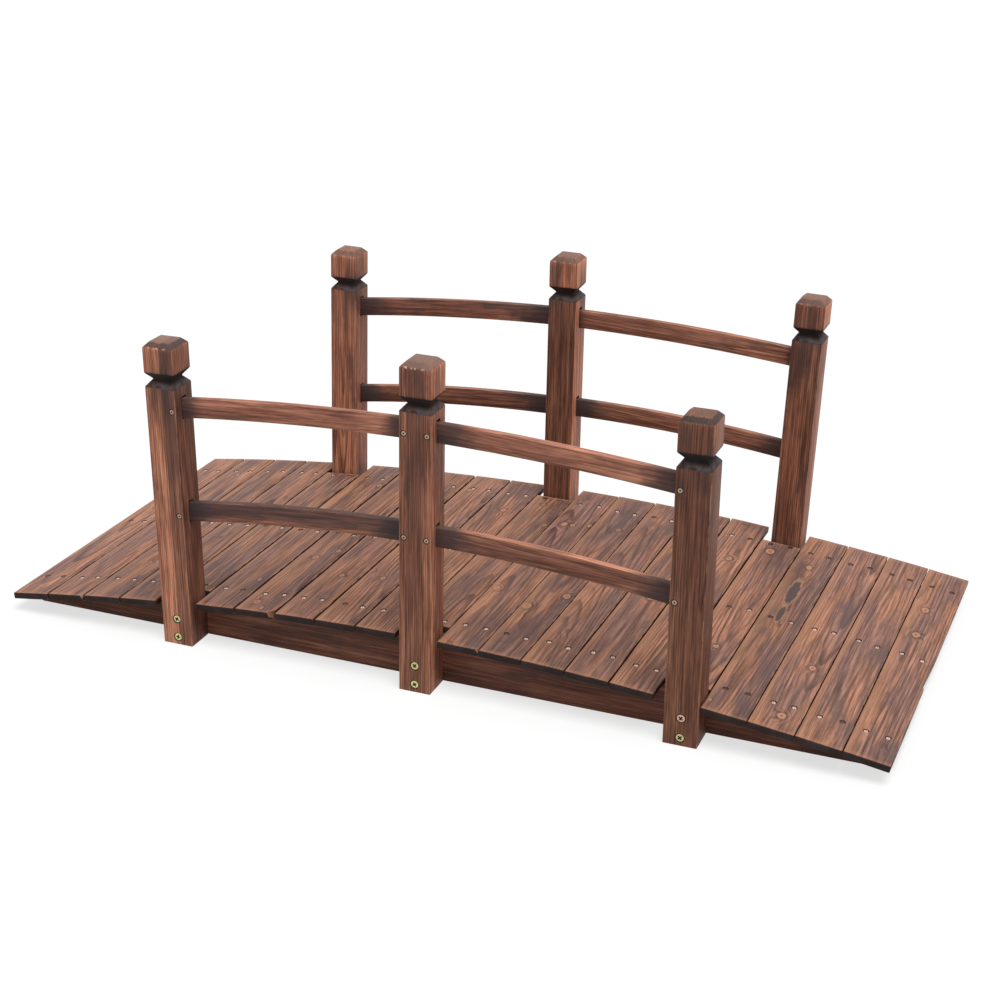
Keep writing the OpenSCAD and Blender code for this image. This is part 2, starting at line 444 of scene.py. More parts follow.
def post_face_x(side: Side, place: Place, height: float, way: int) -> float:
    """Where a post's side face is at a height.

    Args:
        side: the railing.
        place: the post's place in it.
        height: height above the ground.
        way: 1 for the face towards +X and -1 for the other.

    Returns:
        The distance along the bridge.
    """
    return post_line_x(side, place, height) + way * SIZES.post_width(side) / 2


def end_drop(side: Side, place: Place, way: int, level: Level) -> float:
    """How much lower a rail end lies than the rail's even arc has it.

    Args:
        side: the railing.
        place: the post that holds the end.
        way: 1 for the post's side towards +X and -1 for the other.
        level: which rail it is.

    Returns:
        The distance, negative where the end lies higher.
    """
    ends = ((Place.LEFT, 1), (Place.MID, -1), (Place.MID, 1), (Place.RIGHT, -1))
    return END_DROPS[(side, level)][ends.index((place, way))]


class Workshop:
    """Hand tools on meshes, so that each step of a piece is one plain call."""

    @staticmethod
    def deselect() -> None:
        """Go to object mode with nothing selected."""
        if bpy.context.object and bpy.context.object.mode != "OBJECT":
            bpy.ops.object.mode_set(mode="OBJECT")
        bpy.ops.object.select_all(action="DESELECT")

    @staticmethod
    def pick(piece: bpy.types.Object) -> None:
        """Select one piece and make it active.

        Args:
            piece: the object.
        """
        Workshop.deselect()
        piece.select_set(True)
        bpy.context.view_layer.objects.active = piece

    @staticmethod
    def block(name: str, size: Sequence[float], centre: Sequence[float]) -> bpy.types.Object:
        """Add a block with its place in its mesh.

        Args:
            name: the piece's name.
            size: its full size along X, Y and Z.
            centre: its middle.

        Returns:
            The new object, at the origin and unscaled.
        """
        Workshop.deselect()
        bpy.ops.mesh.primitive_cube_add(size=1, location=centre, scale=size)
        return Workshop.settle(name)

    @staticmethod
    def settle(name: str) -> bpy.types.Object:
        """Put the active object's place into its mesh.

        Args:
            name: the name that it gets.

        Returns:
            The object.
        """
        bpy.ops.object.transform_apply(location=True, rotation=True, scale=True)
        piece = bpy.context.object
        piece.name = name
        piece.data.name = name
        return piece

    @staticmethod
    def unpick(piece: bpy.types.Object, kind: str) -> None:
        """Make ready to pick some of a piece's parts.

        Args:
            piece: the object.
            kind: FACE or EDGE, the kind of part that is picked.
        """
        Workshop.pick(piece)
        bpy.ops.object.mode_set(mode="EDIT")
        bpy.ops.mesh.select_mode(type=kind)
        bpy.ops.mesh.select_all(action="DESELECT")
        bpy.ops.object.mode_set(mode="OBJECT")

    @staticmethod
    def select_where(
        piece: bpy.types.Object, test: Callable[[bpy.types.MeshPolygon], bool]
    ) -> None:
        """Open a piece in edit mode with some of its faces selected.

        Args:
            piece: the object.
            test: says of a face whether it is selected.
        """
        Workshop.unpick(piece, "FACE")
        for face in piece.data.polygons:
            face.select = test(face)
        bpy.ops.object.mode_set(mode="EDIT")

    @staticmethod
    def divide(piece: bpy.types.Object, axis: Axis, cuts: int) -> None:
        """Divide a block's edges that run along one axis.

        Args:
            piece: the block.
            axis: the axis.
            cuts: how many cuts each of those edges gets.
        """
        Workshop.unpick(piece, "EDGE")
        verts = piece.data.vertices
        for edge in piece.data.edges:
            run = verts[edge.vertices[0]].co - verts[edge.vertices[1]].co
            edge.select = abs(run[axis.value]) > 0.9 * run.length
        bpy.ops.object.mode_set(mode="EDIT")
        bpy.ops.mesh.subdivide(number_cuts=cuts)
        bpy.ops.object.mode_set(mode="OBJECT")

    @staticmethod
    def bisect(piece: bpy.types.Object, point: Sequence[float], away: Sequence[float]) -> None:
        """Cut a piece off at a plane and close the cut.

        Args:
            piece: the object.
            point: a point of the plane.
            away: points to the side that is cut off.
        """
        Workshop.select_where(piece, lambda face: True)
        bpy.ops.mesh.bisect(plane_co=point, plane_no=away, use_fill=True, clear_outer=True)
        bpy.ops.object.mode_set(mode="OBJECT")

    @staticmethod
    def apply(piece: bpy.types.Object, kind: str, **settings: object) -> None:
        """Add a modifier and apply it.

        Args:
            piece: the object it works on.
            kind: Blender's name of the modifier.
            settings: values for the modifier's properties.
        """
        Workshop.pick(piece)
        modifier = piece.modifiers.new(kind.lower(), kind)
        for key, value in settings.items():
            setattr(modifier, key, value)
        bpy.ops.object.modifier_apply(modifier=modifier.name)

    @staticmethod
    def ease(piece: bpy.types.Object, width: float, segments: int = 2) -> None:
        """Round a piece's sharp edges.

        Args:
            piece: the object.
            width: width of the rounding.
            segments: how many facets it has.
        """
        Workshop.apply(
            piece,
            "BEVEL",
            width=width,
            segments=segments,
            limit_method="ANGLE",
            angle_limit=math.radians(30),
        )

    @staticmethod
    def carve(piece: bpy.types.Object, cutters: Sequence[bpy.types.Object]) -> None:
        """Take cutters out of a piece; each cut keeps its cutter's finish.

        Args:
            piece: the object to carve.
            cutters: the shapes to take away, which are then deleted.
        """
        cutter = Workshop.join(cutters, "cutter")
        Workshop.apply(
            piece,
            "BOOLEAN",
            object=cutter,
            operation="DIFFERENCE",
            solver="EXACT",
            material_mode="TRANSFER",
        )
        Workshop.pick(cutter)
        bpy.ops.object.delete()

    @staticmethod
    def join(parts: Sequence[bpy.types.Object], name: str) -> bpy.types.Object:
        """Join meshes into one.

        Args:
            parts: the objects to join.
            name: the name of the result.

        Returns:
            The joined object.
        """
        Workshop.pick(parts[0])
        for part in parts[1:]:
            part.select_set(True)
        if len(parts) > 1:
            bpy.ops.object.join()
        joined = bpy.context.object
        joined.name = name
        joined.data.name = name
        return joined

    @staticmethod
    def move(piece: bpy.types.Object, matrix: Matrix) -> None:
        """Carry a piece to its place and keep that place in its mesh.

        Args:
            piece: the object, at the origin.
            matrix: carries it to its place.
        """
        Workshop.pick(piece)
        piece.matrix_world = matrix
        bpy.ops.object.transform_apply(location=True, rotation=True, scale=True)

    @staticmethod
    def smooth(piece: bpy.types.Object, degrees: float = 40) -> None:
        """Shade a piece smooth except over its sharp edges."""
        Workshop.pick(piece)
        bpy.ops.object.shade_smooth_by_angle(angle=math.radians(degrees))

    @staticmethod
    def finish(
        piece: bpy.types.Object, node: str | None = None, slot: str | None = None
    ) -> None:
        """Hang a finished piece on the bridge.

        Args:
            piece: the object.
            node: the CAD node that it stands for, if any.
            slot: the name of its finish's material slot; not used.
        """
        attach(piece, ROOT)
        if node:
            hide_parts(node)
        LOG.info("%s: %d faces", piece.name, len(piece.data.polygons))


@dataclass(frozen=True)
class Board:
    """The grain frame that a wooden piece carries in its mesh.

    The half is half its length, width and thickness. The reach is how far a post's
    rim lies over its groove, or how far the tinted ends of a plank or rail go. The
    faces are painted light and shade on its sides, front and top, with some of its
    scorch, and the painted head faces the same for a post's head.
    """

    seed: str
    half: Triple
    shade: float
    scorch: float
    reach: float
    band: Band = Band()
    cap: Cap = Cap()
    faces: PaintedLight = PaintedLight()
    painted_head_faces: PaintedLight | None = None
    knots: tuple[Knot, ...] = ()

    AT = "board_at"
    FORM = "board_form"
    HALF = "board_half"
    SEED = "board_seed"
    LOOK = "board_look"
    BAND = "board_band"
    CAP = "board_cap"
    FACE = "board_face"
    KNOTS = {"KnotA": "board_knot_a", "KnotB": "board_knot_b", "KnotC": "board_knot_c"}

    def mark(self, piece: bpy.types.Object, grain: Grain, form: Grain | None = None) -> None:
        """Store where each point lies in the board, and the board's own looks.

        Args:
            piece: the finished object, in place.
            grain: gives a point's place along, across and through the board.
            form: the same, following the piece where it curves away from the grain.
        """
        form = form or grain
        draw = random.Random(self.seed)
        chance = [draw.random() for _ in range(3)]
        knots = self.knots + (Knot(),) * (len(self.KNOTS) - len(self.knots))
        points = [vert.co for vert in piece.data.vertices]
        self.store(piece, self.AT, [number for at in points for number in grain(at)])
        self.store(piece, self.FORM, [number for at in points for number in form(at)])
        for name, values in (
            (self.HALF, self.half),
            (self.SEED, chance),
            (self.LOOK, (self.shade, self.scorch, self.reach)),
            (self.BAND, self.band),
            (self.CAP, self.cap),
            *((name, knot.packed) for name, knot in zip(self.KNOTS.values(), knots)),
        ):
            self.store(piece, name, list(values) * len(points))
        self.paint_face_light(piece, grain)

    def paint_face_light(self, piece: bpy.types.Object, grain: Grain) -> None:
        """Store how light each face is by the way it looks: painted light and shade, with some scorch.

        Args:
            piece: the finished object, in place.
            grain: gives a point's place in the board; a post's starts at its groove.
        """
        shades = []
        for face in piece.data.polygons:
            on_head = self.painted_head_faces and grain(face.center)[0] > 0
            tints = self.painted_head_faces if on_head else self.faces
            shades.append(sum(shade * part**2 for shade, part in zip(tints, face.normal)))
        stored = piece.data.attributes.new(self.FACE, "FLOAT", "FACE")
        stored.data.foreach_set("value", shades)

    @staticmethod
    def store(piece: bpy.types.Object, name: str, values: list[float]) -> None:
        """Write one attribute of a mesh's points."""
        stored = piece.data.attributes.new(name, "FLOAT_VECTOR", "POINT")
        stored.data.foreach_set("vector", values)


def srgb(red: float, green: float, blue: float) -> tuple[float, float, float, float]:
    """Turn a screen colour into the linear one that shaders take.

    Args:
        red: red from 0 to 255.
        green: green from 0 to 255.
        blue: blue from 0 to 255.

    Returns:
        The linear colour with an alpha of 1.
    """
    linear = []
    for part in (red / 255, green / 255, blue / 255):
        linear.append(part / 12.92 if part <= 0.04045 else ((part + 0.055) / 1.055) ** 2.4)
    return linear[0], linear[1], linear[2], 1.0


class Noise(NamedTuple):
    """A soft noise, about 0.3 to 0.7: its cells a metre each way, its detail and roughness."""

    along: float
    across: float
    through: float
    detail: float = 2.0
    rough: float = 0.5


class Canvas:
    """A node tree with short calls for the nodes that the finishes use."""

    def __init__(self, tree: bpy.types.NodeTree) -> None:
        """Take the tree to draw on."""
        self.tree = tree

    @classmethod
    def fresh(cls, holder: bpy.types.ID) -> "Canvas":
        """Clear the nodes of a material or a world.

        Args:
            holder: the material or the world.

        Returns:
            The canvas of its nodes.
        """
        holder.use_nodes = True
        holder.node_tree.nodes.clear()
        return cls(holder.node_tree)

    def feed(self, socket: bpy.types.NodeSocket, value: Socket) -> None:
        """Link a socket to another one, or set its value."""
        if isinstance(value, bpy.types.NodeSocket):
            self.tree.links.new(value, socket)
        else:
            socket.default_value = value

    def fill(self, node: bpy.types.Node, values: dict[str | int, Socket]) -> bpy.types.Node:
        """Feed a node's inputs.

        Args:
            node: the node.
            values: what goes into its inputs, by their name or number.

        Returns:
            The same node.
        """
        for key, value in values.items():
            self.feed(node.inputs[key], value)
        return node

    def node(self, kind: str, *inputs: Socket, **settings: object) -> bpy.types.Node:
        """Add a node.

        Args:
            kind: the node's type, without the ShaderNode prefix.
            inputs: values for its first inputs, in order.
            settings: values for its properties.

        Returns:
            The node.
        """
        made = self.tree.nodes.new("ShaderNode" + kind)
        for key, value in settings.items():
            setattr(made, key, value)
        return self.fill(made, dict(enumerate(inputs)))

    def math(self, operation: str, *inputs: Socket) -> Socket:
        """Do one sum on numbers, by Blender's name of it."""
        return self.node("Math", *inputs, operation=operation).outputs[0]

    def times(self, *factors: Socket) -> Socket:
        """Multiply numbers.

        Args:
            factors: two or more numbers.

        Returns:
            Their product.
        """
        product = factors[0]
        for factor in factors[1:]:
            product = self.math("MULTIPLY", product, factor)
        return product

    def times_plus(self, value: Socket, factor: Socket, base: Socket) -> Socket:
        """Multiply a number by a second one and add a third."""
        return self.math("MULTIPLY_ADD", value, factor, base)

    def plus(self, first: Socket, second: Socket) -> Socket:
        """Add two numbers."""
        return self.math("ADD", first, second)

    def minus(self, first: Socket, second: Socket) -> Socket:
        """Take the second number from the first."""
        return self.math("SUBTRACT", first, second)

    def rest(self, mask: Socket) -> Socket:
        """Turn a mask round."""
        return self.minus(1.0, mask)

    def centred(self, value: Socket) -> Socket:
        """Bring a number's middle from 0.5 to 0."""
        return self.minus(value, 0.5)

    def size(self, value: Socket) -> Socket:
        """Drop a number's sign."""
        return self.math("ABSOLUTE", value)

    def most(self, first: Socket, second: Socket) -> Socket:
        """Take the greater of two numbers."""
        return self.math("MAXIMUM", first, second)

    def least(self, first: Socket, second: Socket) -> Socket:
        """Take the smaller of two numbers."""
        return self.math("MINIMUM", first, second)

    def vector(self, operation: str, *inputs: Socket) -> Socket:
        """Do one sum on vectors, by Blender's name of it."""
        return self.node("VectorMath", *inputs, operation=operation).outputs[0]

    def split(self, vector: Socket) -> tuple[Socket, Socket, Socket]:
        """Take a vector apart into its three numbers."""
        parts = self.node("SeparateXYZ", vector).outputs
        return parts[0], parts[1], parts[2]

    def combine(self, x: Socket, y: Socket, z: Socket) -> Socket:
        """Put a vector together."""
        return self.node("CombineXYZ", x, y, z).outputs[0]

    def length(self, x: Socket, y: Socket) -> Socket:
        """Length of the vector of two numbers."""
        flat = self.combine(x, y, 0.0)
        return self.node("VectorMath", flat, operation="LENGTH").outputs["Value"]

    def ramp(self, value: Socket, low: Socket, high: Socket) -> Socket:
        """Turn a value into a mask with a soft step.

        Args:
            value: the value.
            low: where the mask is 0.
            high: where the mask is 1, which may be below low.

        Returns:
            The mask's socket.
        """
        made = self.node("MapRange", value, low, high, 0.0, 1.0, interpolation_type="SMOOTHSTEP")
        return made.outputs[0]

    def noise(self, at: Socket, noise: Noise) -> Socket:
        """Sample a soft noise.

        Args:
            at: the place in the board.
            noise: which noise it is.

        Returns:
            Its value.
        """
        cells = self.vector("MULTIPLY", at, (noise.along, noise.across, noise.through))
        values = {"Vector": cells, "Scale": 1.0, "Detail": noise.detail, "Roughness": noise.rough}
        return self.fill(self.node("TexNoise"), values).outputs["Fac"]

    def mix(self, mask: Socket, first: Socket, second: Socket, blend: str = "MIX") -> Socket:
        """Mix two colours.

        Args:
            mask: how much of the second.
            first: the colour below.
            second: the colour above.
            blend: how they mix.

        Returns:
            The colour's socket.
        """
        made = self.node("Mix", data_type="RGBA", blend_type=blend)
        return self.fill(made, {0: mask, 6: first, 7: second}).outputs[2]

    def coat(self, colour: Socket, *coats: tuple[Socket, Socket, Triple]) -> Socket:
        """Lay coats over a colour.

        Args:
            colour: the colour below.
            coats: the mask, the strength and the screen colour of each.

        Returns:
            The colour's socket.
        """
        for mask, strength, tint in coats:
            colour = self.mix(self.times(mask, strength), colour, srgb(*tint))
        return colour

    def attribute(self, name: str, part: str = "Vector") -> Socket:
        """Read a vector, or with Fac a number, that the mesh carries."""
        return self.node("Attribute", attribute_name=name).outputs[part]

    def place(self) -> Socket:
        """Read the place in the object's own coordinates, which are the frame's."""
        return self.node("TexCoord").outputs["Object"]

    def group(self, name: str, values: dict[str, Socket]) -> dict[str, Socket]:
        """Place a shader group.

        Args:
            name: the group's name.
            values: a value for each of its inputs, by name.

        Returns:
            Its outputs by name.
        """
        made = self.fill(self.node("Group", node_tree=bpy.data.node_groups[name]), values)
        return {socket.name: socket for socket in made.outputs}

    def relief(self, height: Socket, strength: float, distance: float) -> Socket:
        """Turn a height into small relief.

        Args:
            height: the height, about 0 to 1.
            strength: the share of it that shows.
            distance: how far a height of 1 stands out.

        Returns:
            The normal's socket.
        """
        values = {"Height": height, "Strength": strength, "Distance": distance}
        return self.fill(self.node("Bump"), values).outputs["Normal"]

    def surface(self, values: dict[str, Socket]) -> None:
        """End a material in a shader with these values."""
        shader = self.fill(self.node("BsdfPrincipled"), values)
        self.end(shader)

    def end(self, shader: bpy.types.Node, kind: str = "OutputMaterial") -> None:
        """Put a shader on the surface."""
        self.feed(self.node(kind).inputs["Surface"], shader.outputs[0])


class SharedGroup:
    """A shader node group with named inputs and outputs, drawn once."""

    name: str = ""
    takes: dict[str, str] = {}
    gives: tuple[str, ...] = ()

    def __init__(self) -> None:
        """Make the group's sockets and draw it."""
        tree = bpy.data.node_groups.new(self.name, "ShaderNodeTree")
        for label, kind in self.takes.items():
            tree.interface.new_socket(label, in_out="INPUT", socket_type="NodeSocket" + kind)
        for label in self.gives:
            tree.interface.new_socket(label, in_out="OUTPUT", socket_type="NodeSocketFloat")
        canvas = Canvas(tree)
        entry = tree.nodes.new("NodeGroupInput")
        leave = tree.nodes.new("NodeGroupOutput")
        given = {socket.name: socket for socket in entry.outputs if socket.name}
        for label, value in self.draw(canvas, given).items():
            canvas.feed(leave.inputs[label], value)

    def draw(self, canvas: Canvas, given: dict[str, Socket]) -> dict[str, Socket]:
        """Draw the group's nodes.

        Args:
            canvas: the group's canvas.
            given: its inputs by name.

        Returns:
            Its outputs by name.
        """
        raise NotImplementedError


class FirGrain(SharedGroup):
    """Growth rings, fibres, knots and scorch patches of one fir board."""

    name = "fir_grain"
    takes = {
        "Board": "Vector",
        "Seed": "Vector",
        "KnotA": "Vector",
        "KnotB": "Vector",
        "KnotC": "Vector",
        "Spacing": "Float",
        "Scorch": "Float",
        "Knotty": "Float",
    }
    gives = (
        "Late",
        "Fibre",
        "Knot",
        "Heart",
        "Rim",
        "Pitch",
        "Halo",
        "Tone",
        "Streak",
        "Patch",
        "Height",
    )

    fibre = Noise(10, 250, 250, detail=3.0, rough=0.75)
    tone = Noise(4, 26, 26, detail=3.0, rough=0.55)
    streak = Noise(5, 190, 190, detail=3.0, rough=0.6)
    slow_bend = Noise(1.8, 7, 7, detail=1.0)
    quick_bend = Noise(18, 90, 90)
    knot_wobble = Noise(4, 4, 4)
    knot_edge = Noise(60, 220, 220)
    scorch_patch = Noise(7, 24, 24, detail=3.0, rough=0.55)
    scorch_streak = Noise(10, 170, 170)
    scorch_ripple = Noise(75, 45, 45)

    seed_shift: Triple = (31.7, 23.9, 17.3)
    knot_cells: Triple = (15, 25, 6)
    knot_shift: Triple = (137, 71, 211)
    knot_reach = 0.1

    def draw(self, canvas: Canvas, given: dict[str, Socket]) -> dict[str, Socket]:
        """Draw the grain.

        Args:
            canvas: the group's canvas.
            given: the group's inputs.

        Returns:
            Masks of the grain by name.
        """
        board, seed = given["Board"], given["Seed"]
        own = canvas.vector("ADD", board, canvas.vector("MULTIPLY", seed, self.seed_shift))
        wild, wild_heart, wild_near = self.wild_knots(canvas, board, seed, given["Knotty"])
        placed, placed_heart, placed_near, pitch, halo = self.placed_knots(canvas, board, given)
        near = canvas.most(wild_near, placed_near)
        knot = canvas.most(wild, placed)
        late = self.rings(canvas, own, board, seed, near, given["Spacing"])
        fibre = canvas.noise(own, self.fibre)
        return {
            "Late": canvas.times(late, canvas.rest(knot)),
            "Fibre": fibre,
            "Knot": knot,
            "Heart": canvas.most(wild_heart, placed_heart),
            "Rim": canvas.times(canvas.math("POWER", near, 3.0), canvas.rest(knot)),
            "Pitch": pitch,
            "Halo": halo,
            "Tone": canvas.noise(own, self.tone),
            "Streak": canvas.noise(own, self.streak),
            "Patch": self.scorched(canvas, own, given["Scorch"]),
            "Height": canvas.plus(canvas.times(late, 0.45), canvas.times(canvas.centred(fibre), 0.8)),
        }

    def rings(
        self,
        canvas: Canvas,
        own: Socket,
        board: Socket,
        seed: Socket,
        near: Socket,
        spacing: Socket,
    ) -> Socket:
        """Dark latewood lines round a tilted pith outside the board.

        Args:
            canvas: the group's canvas.
            own: the place in the board, moved by its seed.
            board: the place in the board.
            seed: the board's seed.
            near: how near a knot is, from 0 to 1.
            spacing: width of a growth ring.

        Returns:
            The mask of the lines.
        """
        along, across, through = canvas.split(board)
        first, second, third = canvas.split(seed)
        fourth = canvas.math("FRACT", canvas.times(first, 7.31))
        shift = canvas.times(canvas.centred(first), 80 * MM)
        tilt = canvas.times(canvas.centred(third), 0.08)
        depth = canvas.times_plus(second, 35 * MM, 12 * MM)
        depth = canvas.times_plus(canvas.size(tilt), 0.3, depth)
        skew = canvas.times(canvas.centred(fourth), 0.02)
        side = canvas.minus(across, canvas.times_plus(along, skew, shift))
        down = canvas.plus(through, canvas.times_plus(along, tilt, depth))
        slow = canvas.centred(canvas.noise(own, self.slow_bend))
        quick = canvas.centred(canvas.noise(own, self.quick_bend))
        radius = canvas.times_plus(slow, 18 * MM, canvas.length(side, down))
        radius = canvas.times_plus(quick, 1.4 * MM, radius)
        radius = canvas.times_plus(near, 5 * MM, radius)
        age = canvas.math("DIVIDE", radius, spacing)
        season = canvas.math("FRACT", age)
        rise = canvas.ramp(season, 0.45, 0.88)
        fall = canvas.ramp(season, 1.0, 0.93)
        year = canvas.plus(canvas.math("FLOOR", age), canvas.times(first, 97.0))
        dice = canvas.fill(canvas.node("TexWhiteNoise", noise_dimensions="1D"), {"W": year})
        vigour = canvas.times_plus(dice.outputs["Value"], 0.75, 0.25)
        return canvas.times(rise, fall, vigour)

    def wild_knots(
        self, canvas: Canvas, board: Socket, seed: Socket, share_real: Socket
    ) -> tuple[Socket, Socket, Socket]:
        """Small knots scattered by the board's seed.

        Args:
            canvas: the group's canvas.
            board: the place in the board.
            seed: the board's seed.
            share_real: the share of the cells that hold a knot.

        Returns:
            Masks of the knots, of their hearts, and of the grain that bends round them.
        """
        cell = canvas.vector("MULTIPLY", board, self.knot_cells)
        at = canvas.vector("ADD", cell, canvas.vector("MULTIPLY", seed, self.knot_shift))
        cells = canvas.node("TexVoronoi", voronoi_dimensions="3D", feature="F1")
        canvas.fill(cells, {"Vector": at, "Scale": 1.0})
        chance, size, kind = canvas.split(cells.outputs["Color"])
        wobble = canvas.centred(canvas.noise(at, self.knot_wobble))
        far = canvas.times_plus(wobble, 0.12, cells.outputs["Distance"])
        reach = canvas.times_plus(size, self.knot_reach, self.knot_reach * 0.4)
        share = canvas.math("DIVIDE", far, reach)
        real = canvas.math("GREATER_THAN", share_real, chance)
        knot = canvas.times(real, canvas.ramp(share, 1.15, 0.8))
        heart = canvas.times(real, canvas.ramp(kind, 0.5, 0.55), canvas.ramp(share, 0.6, 0.3))
        near = canvas.times(real, canvas.ramp(share, 3.0, 1.0))
        return knot, heart, near

    def placed_knots(
        self, canvas: Canvas, board: Socket, given: dict[str, Socket]
    ) -> tuple[Socket, Socket, Socket, Socket, Socket]:
        """The knots and pitch pockets that the photograph shows.

        Args:
            canvas: the group's canvas.
            board: the place in the board.
            given: the group's inputs.

        Returns:
            Masks as those of the scattered knots, and those of the pitch pockets and
            of their pale rims.
        """
        along, across, _ = canvas.split(board)
        ragged = canvas.centred(canvas.noise(board, self.knot_edge))
        knot, heart, near, pitch, halo = 0.0, 0.0, 0.0, 0.0, 0.0
        for name in Board.KNOTS:
            at_along, at_across, radius = canvas.split(given[name])
            pocket = canvas.math("LESS_THAN", radius, 0.0)
            wood = canvas.rest(pocket)
            squeeze = canvas.times_plus(pocket, -0.52, 0.7)
            off_along = canvas.times(canvas.minus(along, at_along), squeeze)
            far = canvas.length(off_along, canvas.minus(across, at_across))
            size = canvas.most(canvas.size(radius), 0.1 * MM)
            share = canvas.times_plus(ragged, 0.7, canvas.math("DIVIDE", far, size))
            disc = canvas.ramp(share, 1.15, 0.9)
            knot = canvas.most(knot, canvas.times(disc, wood))
            heart = canvas.most(heart, canvas.times(canvas.ramp(share, 0.6, 0.35), wood))
            near = canvas.most(near, canvas.ramp(share, 3.0, 1.0))
            pitch = canvas.most(pitch, canvas.times(disc, pocket))
            halo = canvas.most(halo, canvas.times(canvas.ramp(share, 1.5, 1.2), pocket))
        return knot, heart, near, pitch, halo

    def scorched(self, canvas: Canvas, own: Socket, amount: Socket) -> Socket:
        """Patches that the flame went over longest.

        Args:
            canvas: the group's canvas.
            own: the place in the board, moved by its seed.
            amount: how much of the board they take, from 0 to 1.

        Returns:
            Their mask.
        """
        value = canvas.noise(own, self.scorch_patch)
        for noise, strength in ((self.scorch_streak, 0.22), (self.scorch_ripple, 0.12)):
            value = canvas.times_plus(canvas.centred(canvas.noise(own, noise)), strength, value)
        low = canvas.times_plus(amount, -0.22, 0.62)
        return canvas.ramp(value, low, canvas.plus(low, 0.2))


class BoardEdges(SharedGroup):
    """How far a point is from a board's edges and ends."""

    name = "board_edges"
    takes = {"Form": "Vector", "Half": "Vector"}
    gives = ("Arris", "End")

    def draw(self, canvas: Canvas, given: dict[str, Socket]) -> dict[str, Socket]:
        """Draw the distances.

        Args:
            canvas: the group's canvas.
            given: the group's inputs.

        Returns:
            The distance to the nearest edge and to the nearest end.
        """
        away = canvas.vector("ABSOLUTE", given["Form"])
        end, side, face = canvas.split(canvas.vector("SUBTRACT", given["Half"], away))
        middle = canvas.most(canvas.least(end, side), canvas.least(canvas.most(end, side), face))
        return {"Arris": middle, "End": end}


@dataclass(frozen=True)
class Stain:
    """Colours of scorched fir under its stain, as a screen shows them."""

    pale: Triple = (158, 110, 86)
    mid: Triple = (130, 95, 84)
    late: Triple = (72, 43, 37)
    worn: Triple = (190, 144, 115)
    knot: Triple = (180, 132, 102)
    heart: Triple = (112, 70, 50)
    rim: Triple = (72, 46, 38)
    smoke: Triple = (88, 70, 69)
    char: Triple = (28, 25, 26)
    crown: Triple = (132, 104, 94)
    soot: Triple = (66, 52, 50)
    ash: Triple = (92, 84, 86)
    maroon: Triple = (56, 30, 23)
    nick: Triple = (232, 186, 164)
    pitch: Triple = (66, 58, 61)


